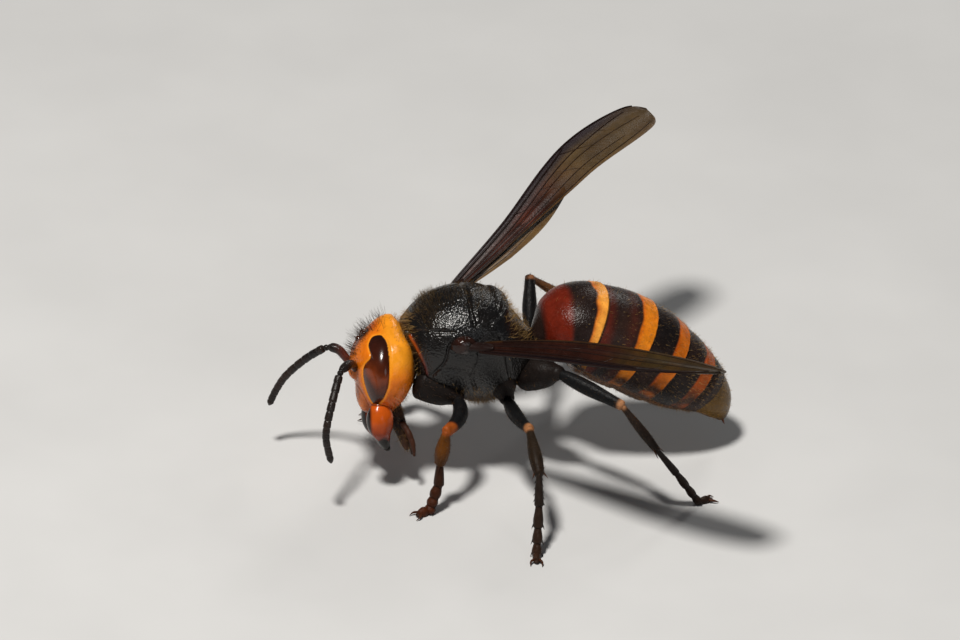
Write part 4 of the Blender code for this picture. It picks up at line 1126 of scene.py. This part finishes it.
def foot_sheets(ankle, heel, sole, radius, foot_colour, toe_colour):
    """Foot segments that widen to their ends, with spines, pad and two curved claws."""
    forward = unit(np.array((sole[0] - heel[0], sole[1] - heel[1], 0.0)))
    toe = sole + forward * SOLE_LENGTH
    along = unit(sole - heel)
    outward = unit(np.cross(along, (0, 0, 1.0)))
    sheets = [(segment_points(ankle + (heel - ankle) * 0.04, heel, radius, FIRST_TOE_SHAPE, sides=20,
                              flatten=0.8), foot_colour)]
    for start, end in zip(TOE_JOINTS, TOE_JOINTS[1:]):
        near, far = heel + (sole - heel) * start, heel + (sole - heel) * end
        sheets.append((segment_points(near, far, radius, TOE_SHAPE, sides=20, levels=30, flatten=0.85),
                       mix(foot_colour, toe_colour, end)))
        for side in SIDES.values():
            base = far - along * 0.12 + outward * side * radius * 0.8
            tip = base + outward * side * 0.12 + along * 0.34
            sheets.append((spike_points(base, tip, TOE_SPINE_RADIUS), NEAR_BLACK))
    sheets.append((segment_points(sole - forward * 0.1, toe, radius, SOLE_SHAPE, sides=20, flatten=0.72),
                   toe_colour))
    sheets += claw_sheets(toe, forward, outward)
    for step in range(HEEL_SPINES):
        share = (step + 0.5) / HEEL_SPINES
        sideways = outward * (LEFT if step % 2 else RIGHT)
        base = ankle + (heel - ankle) * share + sideways * radius * (0.45 + 0.35 * share)
        tip = base + sideways * 0.12 + along * 0.2
        sheets.append((spike_points(base, tip, HEEL_SPINE_RADIUS, sides=6, levels=6), NEAR_BLACK))
    return sheets


def claw_sheets(toe, forward, outward):
    """Two curved claws and the pad between them."""
    up = np.array((0, 0, 1.0))
    sheets = []
    for side in SIDES.values():
        root = toe - forward * 0.08 + outward * side * 0.08 + up * 0.03
        tip = toe + forward * 0.55 + outward * side * 0.36 - up * 0.14
        claw = spike_points(root, tip, CLAW_RADIUS, outward * side * 0.13 + up * 0.06, 12, 20)
        sheets.append((claw, (0.05, 0.016, 0.007)))
    pad = ball_points(toe + forward * 0.12 - up * 0.05, PAD_RADII, 16, 12)
    return sheets + [(pad, (0.03, 0.015, 0.010))]


WING_PATHS = {
    "left": ((1.00, -3.75, 10.45), (4.85, -8.40, 12.50), (8.90, -12.90, 13.95), (12.95, -16.60, 14.90)),
    "right": ((1.00, 3.55, 10.50), (5.20, 5.60, 13.20), (10.10, 9.20, 15.95), (15.90, 13.45, 16.70)),
}
# How far each wing's front edge has turned down at its root, and at its tip
WING_TWISTS = {"left": (math.radians(40), math.radians(-20)), "right": (0.0, 0.0)}
# Half chord along the wing, as shares of half the greatest chord
WING_PROFILE = ((0.0, 0.24), (0.15, 0.40), (0.35, 0.62), (0.6, 0.88), (0.8, 1.0), (0.93, 0.86), (0.98, 0.55),
                (1.0, 0.12))
HINDWING_PROFILE = ((0.0, 0.25), (0.3, 0.62), (0.7, 1.0), (0.92, 0.7), (0.98, 0.4), (1.0, 0.12))
# Share of its path at which each forewing ends, and how far its rear edge is folded in near the root
FOREWING_ENDS = {"left": 1.0, "right": 0.965}
REAR_FOLDS = {"left": 0.0, "right": 0.42}
# Stretch of the path along the hindwing, its half chord, and how far it lies back from the path and below
HINDWING_STRETCH = (0.05, 0.56)
HINDWING_HALF_CHORD = 0.25 * WING_CHORD
HINDWING_BACKS = {"left": 0.2, "right": 0.4}
HINDWING_SPREAD = 2.6
HINDWING_DROP = 0.3915
# Where each forewing hinges below the tegula, on the left side, and its root's radii out to the blade
WING_HINGE = (0.10, -3.10, 10.30)
HINGE_RADII = (0.34, 0.42, 0.40, 0.22)
# How light each side's forewings look against the other: painted light and shade on the same membrane
WING_PAINTED_LIGHT = {"left": 0.52, "right": 1.10}
VEIN_COLOUR = (0.012, 0.005, 0.004)
# Courses of the veins, as share along and place across, and the radius of each
FOREWING_VEINS = (
    (((0.0, -0.95), (0.3, -0.96), (0.7, -0.97), (0.97, -0.9)), 0.085),
    (((0.0, -0.60), (0.3, -0.66), (0.62, -0.74), (0.70, -0.93)), 0.075),
    (((0.02, -0.15), (0.3, -0.30), (0.55, -0.42), (0.75, -0.50), (0.93, -0.72)), 0.055),
    (((0.02, 0.25), (0.3, 0.10), (0.55, -0.02), (0.80, -0.05), (0.95, 0.0)), 0.050),
    (((0.05, 0.60), (0.3, 0.50), (0.6, 0.42), (0.85, 0.45)), 0.045),
    (((0.10, 0.88), (0.35, 0.85), (0.7, 0.84), (0.95, 0.70)), 0.045),
    (((0.40, -0.68), (0.42, -0.50), (0.44, -0.36)), 0.040),
    (((0.52, -0.40), (0.54, -0.20), (0.55, -0.02)), 0.038),
    (((0.66, -0.80), (0.69, -0.62), (0.72, -0.48)), 0.038),
    (((0.72, -0.48), (0.75, -0.25), (0.76, -0.05)), 0.035),
    (((0.82, -0.58), (0.84, -0.30), (0.85, -0.04)), 0.032),
    (((0.35, 0.10), (0.38, 0.30), (0.40, 0.48)), 0.035),
    (((0.62, -0.02), (0.64, 0.20), (0.66, 0.43)), 0.032),
)
HINDWING_VEINS = (
    (((0.0, -0.85), (0.5, -0.88), (0.95, -0.8)), 0.05),
    (((0.05, -0.1), (0.5, -0.2), (0.9, -0.4)), 0.035),
    (((0.1, 0.5), (0.5, 0.45), (0.8, 0.3)), 0.030),
    (((0.45, -0.88), (0.5, -0.5), (0.52, -0.2)), 0.026),
)


class Blade:
    """Long narrow wing along a stretch of a path: places on it by share and place across."""

    def __init__(self, side_name, stretch, profile, half_chord, pleat, back=0.0, drop=0.0, rear_fold=0.0):
        path = WING_PATHS[side_name]
        outward = np.array(path[-1]) - np.array(path[0])
        flat = unit(np.array((outward[0], outward[1], 0.0)))
        self.level = np.array((-flat[1], flat[0], 0.0)) * -SIDES[side_name]
        self.path = path
        self.twists = WING_TWISTS[side_name]
        self.stretch = stretch
        self.profile = fine(profile, 120)
        self.half_chord = half_chord
        self.pleat = pleat
        self.back = back
        self.drop = drop
        self.rear_fold = rear_fold

    def at(self, shares, across, lift):
        """Points at shares along, at -1 to 1 across from the front edge, raised by lift."""
        shares, across, lift = np.broadcast_arrays(shares, across, lift)
        shape = shares.shape
        shares, across, lift = shares.ravel(), across.ravel(), lift.ravel()
        start, end = self.stretch
        place = start + (end - start) * shares
        along = unit(curve(self.path, place + 0.01) - curve(self.path, place - 0.01))
        root_twist, tip_twist = self.twists
        angle = (root_twist + (tip_twist - root_twist) * place)[:, None]
        wide = (self.level * np.cos(angle) + np.cross(along, self.level) * np.sin(angle)
                + along * (along @ self.level)[:, None] * (1 - np.cos(angle)))
        up = np.cross(wide, along)
        up = up * np.where(up[:, 2:3] < 0, -1, 1)
        back = self.back * np.minimum(1, HINDWING_SPREAD * shares)
        rear = 1 - self.rear_fold * (1 - smooth(shares, 0.30, 0.62))
        chord = self.half_chord * np.interp(shares, *self.profile.T) * np.where(across > 0, rear, 1)
        points = curve(self.path, place) + wide * (back + chord * across)[:, None]
        return (points + up * (self.drop + lift)[:, None]).reshape(*shape, 3)

    def folded(self, across, shares):
        """Height of the folded membrane across the wing: a raised front edge and soft pleats."""
        front = 0.16 * bump(across, -0.9, 0.22)
        pleats = self.pleat * np.sin(across * 7.0 + 1.4 * shares) * (1 - 0.6 * smooth(shares, 0.75, 1.0))
        return front + pleats - 0.06 * across ** 2

    def membrane(self, thickness, colour_of, levels):
        """Closed thin sheet and its colours."""
        shares = np.linspace(0, 1, levels)[:, None]
        across = -np.cos(np.linspace(0, np.pi, 60))[None]
        middle = self.folded(across, shares)
        half = thickness / 2 * np.sqrt(np.clip(1 - across ** 2, 0.02, 1))
        upper, lower = (self.at(shares, across, middle + offset) for offset in (half, -half))
        points = np.concatenate([upper, lower[:, ::-1]], 1)
        colours = colour_of(shares, np.concatenate([across, across[:, ::-1]], 1), points)
        return close_ends(points, 0.01, 0.02, 3), with_caps(colours, 3)

    def vein(self, course, radius, steps=70):
        """Raised tube along a course, and its colour."""
        shares, across = fine(course, steps).T
        path = self.at(shares, across, self.folded(across, shares) + radius * 0.5)
        tube = tube_points(path, radius * np.linspace(1.0, 0.55, steps), 10, steps)
        return close_ends(tube, 0.01, 0.01, 3), VEIN_COLOUR


def forewing_colours(shares, across, points):
    """Purplish front edge and red-brown inner half, olive-brown outer half."""
    # Each side's forewing colours are scaled by its painted light and shade
    tone = WING_PAINTED_LIGHT["left" if points[..., 1].mean() < 0 else "right"]
    inner = blotched(points, (0.020, 0.006, 0.004), (0.060, 0.014, 0.007), 1.3, 17)
    outer = blotched(points, (0.052, 0.028, 0.008), (0.085, 0.050, 0.013), 1.8, 18)
    front = smooth(-across, 0.35, 0.80) * (1 - 0.5 * smooth(shares, 0.8, 1.0))
    return tone * layered(inner, (outer, smooth(shares, 0.45, 0.72)), ((0.012, 0.005, 0.007), front),
                          ((0.11, 0.055, 0.014), smooth(across, 0.7, 1.0) * 0.5))


def hindwing_colours(shares, across, points):
    return blotched(points, (0.075, 0.035, 0.009), (0.15, 0.080, 0.016), 1.0, 19)


def make_wings(side, name):
    """Membranes and veins of both wings of a side, and the forewing's hinge."""
    hinge = np.stack([mirrored(WING_HINGE, side), *curve(WING_PATHS[name], (0.0, 0.03, 0.07))])
    root = close_ends(tube_points(hinge, HINGE_RADII, 20, 40, 0.7), 0.1, 0.1)
    fore = Blade(name, (0.0, FOREWING_ENDS[name]), WING_PROFILE, WING_CHORD / 2, 0.055,
                 rear_fold=REAR_FOLDS[name])
    hind = Blade(name, HINDWING_STRETCH, HINDWING_PROFILE, HINDWING_HALF_CHORD, 0.02,
                 HINDWING_BACKS[name], -HINDWING_DROP)
    for kind, blade, sheet_facts, courses, more in (
            ("forewing", fore, (0.07, forewing_colours, 240), FOREWING_VEINS, [(root, VEIN_COLOUR)]),
            ("hindwing", hind, (0.05, hindwing_colours, 150), HINDWING_VEINS, [])):
        sheet_object(kind + "_sheet_" + name, [blade.membrane(*sheet_facts)], "wing_clear",
                     (kind + "_" + name,))
        veins = [blade.vein(course, radius) for course, radius in courses]
        sheet_object(kind + "_veins_" + name, veins + more, "wing_dark")


# Share along a bristle and thickness there of its three rings of three corners, which a tip follows
BRISTLE_RINGS = ((0.0, 1.0), (0.45, 0.75), (0.8, 0.4))
BRISTLE_PATCH = 0.003


def bristle_faces():
    """Triangles of one bristle by its ten points, and each point's place on its patch."""
    faces = []
    for level in range(2):
        for corner in range(3):
            a, b = level * 3 + corner, level * 3 + (corner + 1) % 3
            faces += [(a, b, b + 3), (a, b + 3, a + 3)]
    faces += [(6 + corner, 6 + (corner + 1) % 3, 9) for corner in range(3)]
    spots = [(corner / 3, level / 3) for level in range(3) for corner in range(3)] + [(0.5, 1.0)]
    return np.array(faces), (np.array(spots) - 0.5) * BRISTLE_PATCH


def hair_piece(name, roots, ways, lengths, width, colours, spots, rng, droop):
    """Joined bristles, each a bent three-sided spike on its root."""
    count = len(roots)
    side = unit(np.cross(ways, rng.normal(size=(count, 3))))
    other = np.cross(ways, side)
    sag = np.cross(side, ways) * rng.uniform(-1, 1, (count, 1)) + np.array((0, 0, -0.4))

    def along(share):
        return roots + ways * (lengths * share)[:, None] + sag * (droop * lengths * share ** 2)[:, None]

    corners = [along(share) + (side * math.cos(angle) + other * math.sin(angle)) * width * size / 2
               for share, size in BRISTLE_RINGS for angle in circle(3)]
    points = np.stack(corners + [along(1.0)], 1)
    faces, patch = bristle_faces()
    uvs = (spots[:, None, None] + patch[faces]) % 1.0
    first = np.arange(count)[:, None, None] * points.shape[1]
    return add_mesh(name, points.reshape(-1, 3), (first + faces).reshape(-1, 3),
                    np.repeat(colours, points.shape[1], 0), uvs.reshape(-1, 2))


def scatter(points, density, count, rng):
    """Random places on rings of points, more of them where the density is higher."""
    a, b = points[:-1], points[1:]
    next_a, next_b = np.roll(a, -1, 1), np.roll(b, -1, 1)
    area = np.linalg.norm(np.cross(next_b - a, b - next_a), axis=-1) / 2
    weight = area * np.broadcast_to(density, points.shape[:2])[:-1]
    chosen = np.unravel_index(rng.choice(weight.size, count, p=weight.ravel() / weight.sum()), weight.shape)
    a, b, next_a, next_b = (corner[chosen] for corner in (a, b, next_a, next_b))
    s, t = rng.uniform(size=(2, count, 1))
    place = (a * (1 - s) + next_a * s) * (1 - t) + (b * (1 - s) + next_b * s) * t
    normals = unit(np.cross(next_b - a, b - next_a))
    normals = normals * np.sign((normals * (place - points.mean((0, 1)))).sum(-1, keepdims=True))
    row, column = chosen
    levels, sides = points.shape[:2]
    return place, normals, inset(np.stack([(column + s[:, 0]) / sides, (row + t[:, 0]) / (levels - 1)], -1))


def comb(normals, toward, lean, rng, spread):
    """Hair directions that lean from the normal towards a direction along the body."""
    along = unit(toward - normals * (toward * normals).sum(-1, keepdims=True))
    ways = normals * np.cos(lean)[:, None] + along * np.sin(lean)[:, None]
    return unit(ways + rng.normal(scale=spread, size=normals.shape))


def hair_coat(grid, slot_name, seed, name, density, count, toward, lean, lengths, width, tones, droop,
              spread, cell=(0, 0, 1)):
    """Bristles scattered over rings of points by a density, combed towards a direction."""
    rng = np.random.default_rng(SEED + seed)
    roots, normals, spots = scatter(grid, density, count, rng)
    ways = comb(normals, np.asarray(toward, float), rng.uniform(*lean, count), rng, spread)
    long = lengths[0] + (lengths[1] - lengths[0]) * rng.beta(2, 2, count)
    colours = mix(*tones, rng.uniform(size=count))
    column, row, cells = cell
    spots = (spots + np.array((column, row))) / cells
    made = hair_piece(name, roots - normals * 0.02, ways, long, width, colours, spots, rng, droop)
    return dress(made, "bristle")


def hair_coats(grid, slot_name, first_seed, coats):
    """Coats of rows of name, density, count, direction, lean, lengths, width, colours, droop and spread."""
    for number, coat in enumerate(coats):
        hair_coat(grid, slot_name, first_seed + number, *coat)


def head_hair(points):
    """Dark bristles on the brow and crown, fine golden hairs behind, and bristles on the cheeks."""
    x, y, z = np.moveaxis(points, -1, 0)
    clear = np.minimum(eye_distance(points, LEFT), eye_distance(points, RIGHT)) > 0.15
    brow = smooth(-x, 5.0, 5.8) * smooth(z, 8.0, 8.8) * (1 - smooth(np.abs(y), 1.2, 2.0))
    crown = smooth(z, 10.0, 10.7) * smooth(-x, 4.2, 4.9) * 0.6
    rear = smooth(x, -4.4, -3.2) * smooth(z, 8.8, 10.0)
    cheek = smooth(-z, -7.0, -6.0) * smooth(x, -4.9, -3.9)
    face = smooth(-x, 5.4, 6.2) * (1 - smooth(z, 8.2, 9.2))
    hair_coats(tipped(points), "head_orange", 31, (
        ("brow_bristles", np.clip(brow + crown, 0, 1) * clear, 260, (0, 0, 1.0), (0.0, 0.35), (0.30, 1.05),
         0.021, (DARK_HAIR, (0.05, 0.02, 0.008)), 0.06, 0.22),
        ("crown_hairs", rear * clear, 300, (0.5, 0, 1.0), (0.2, 0.8), (0.25, 0.60),
         0.018, (GOLDEN_HAIR, BROWN_HAIR), 0.2, 0.3),
        ("cheek_bristles", cheek * clear, 170, (0.4, 0, -1.0), (0.2, 0.8), (0.20, 0.50),
         0.020, (DARK_HAIR, GOLDEN_HAIR), 0.15, 0.3),
        ("face_hairs", (0.08 + face) * clear, 700, (0, 0, -1.0), (0.8, 1.3), (0.06, 0.16),
         0.011, ((0.35, 0.12, 0.02), RUST), 0.2, 0.25)))


def thorax_hair(points):
    """Short dark bristles on the front and top, golden-brown fur behind and below."""
    x, _, z = np.moveaxis(points, -1, 0)
    mane = smooth(-x, 0.2, 2.0) * smooth(z, 10.6, 11.7) + smooth(z, 11.8, 12.5) * 0.3
    rear = smooth(x, 2.6, 3.4) * smooth(z, 8.5, 10.0)
    below = smooth(-z, -7.6, -6.2) + 0.5 * smooth(-x, 2.2, 2.8) * smooth(-z, -9.2, -8.2)
    collar = smooth(-x, 2.4, 3.0) * (1.08 - smooth(z, 8.0, 8.8) * (1 - smooth(z, 10.2, 10.8)))
    hair_coats(points, "thorax_black", 41, (
        ("mane", np.clip(mane, 0, 1), 1150, (0.3, 0, 1.0), (0.0, 0.4), (0.16, 0.52),
         0.014, (DARK_HAIR, (0.20, 0.12, 0.04)), 0.12, 0.22),
        ("rear_fur", rear, 620, (0.6, 0, 1.0), (0.0, 0.7), (0.20, 0.62),
         0.014, (GOLDEN_HAIR, BROWN_HAIR), 0.15, 0.35),
        ("breast_fur", np.clip(below, 0, 1), 3200, (0.5, 0, -1.0), (0.3, 1.0), (0.15, 0.45),
         0.017, ((0.30, 0.17, 0.05), (0.05, 0.025, 0.010)), 0.15, 0.35),
        ("collar_fur", collar, 620, (-0.6, 0, -0.5), (0.2, 0.8), (0.25, 0.60),
         0.013, (GOLDEN_HAIR, (0.30, 0.16, 0.05)), 0.12, 0.25),
        ("down", 0.2 + smooth(-z, -9.0, -7.5), 1600, (1.0, 0, 0), (0.9, 1.3), (0.06, 0.15),
         0.011, ((0.05, 0.03, 0.015), DARK_HAIR), 0.1, 0.2)))


def gaster_hair(points, share, lift):
    """Short bristles that point back, pale along the back and dark between."""
    visible = smooth(share, 0.10, 0.25) * (1 - 0.8 * smooth(share, 0.80, 0.84))
    hair_coats(points, "gaster_banded", 51, (
        ("abdomen_down", visible * (0.3 + 0.7 * smooth(share, 0.3, 0.6)), 5200, (1.0, 0, -0.5), (0.8, 1.25),
         (0.07, 0.20), 0.012, ((0.28, 0.17, 0.06), DARK_HAIR), 0.1, 0.2),
        ("abdomen_bristles", visible * (0.2 + smooth(share, 0.45, 0.9)), 1700, (1.0, 0, -0.3), (0.4, 0.9),
         (0.15, 0.36), 0.016, (GOLDEN_HAIR, BROWN_HAIR), 0.12, 0.25)))


def leg_hair(name, number, grids):
    """Brown hairs on the coxa and femur, dark bristles on the tibia."""
    joints = np.array(LEG_JOINTS[name])
    for index, (label, count, lengths, width, tones) in enumerate((
            ("coxa_hairs", 200, (0.12, 0.36), 0.016, (BROWN_HAIR, DARK_HAIR)),
            ("femur_hairs", 240, (0.08, 0.24), 0.015, (BROWN_HAIR, DARK_HAIR)),
            ("tibia_bristles", 260, (0.08, 0.22), 0.017, (DARK_HAIR, BROWN_HAIR)))):
        hair_coat(grids[index], "leg_dark", 60 + 3 * number + index, name + "_" + label, 1, count,
                  joints[index + 1] - joints[index], (0.4, 1.0), lengths, width, tones, 0.1, 0.25,
                  (index, number, 6))


def main():
    make_finishes()
    make_camera()
    make_stage()
    head_hair(make_head())
    for name, side in SIDES.items():
        make_eye(side, name)
        make_mandible(side, name)
        make_antenna(name)
    make_mouthparts()
    thorax_hair(make_thorax())
    for name, side in SIDES.items():
        make_tegula(side, name)
    gaster_hair(*make_gaster())
    for number, name in enumerate(LEG_JOINTS):
        leg_hair(name, number, make_leg(name))
    for name, side in SIDES.items():
        make_wings(side, name)


main()
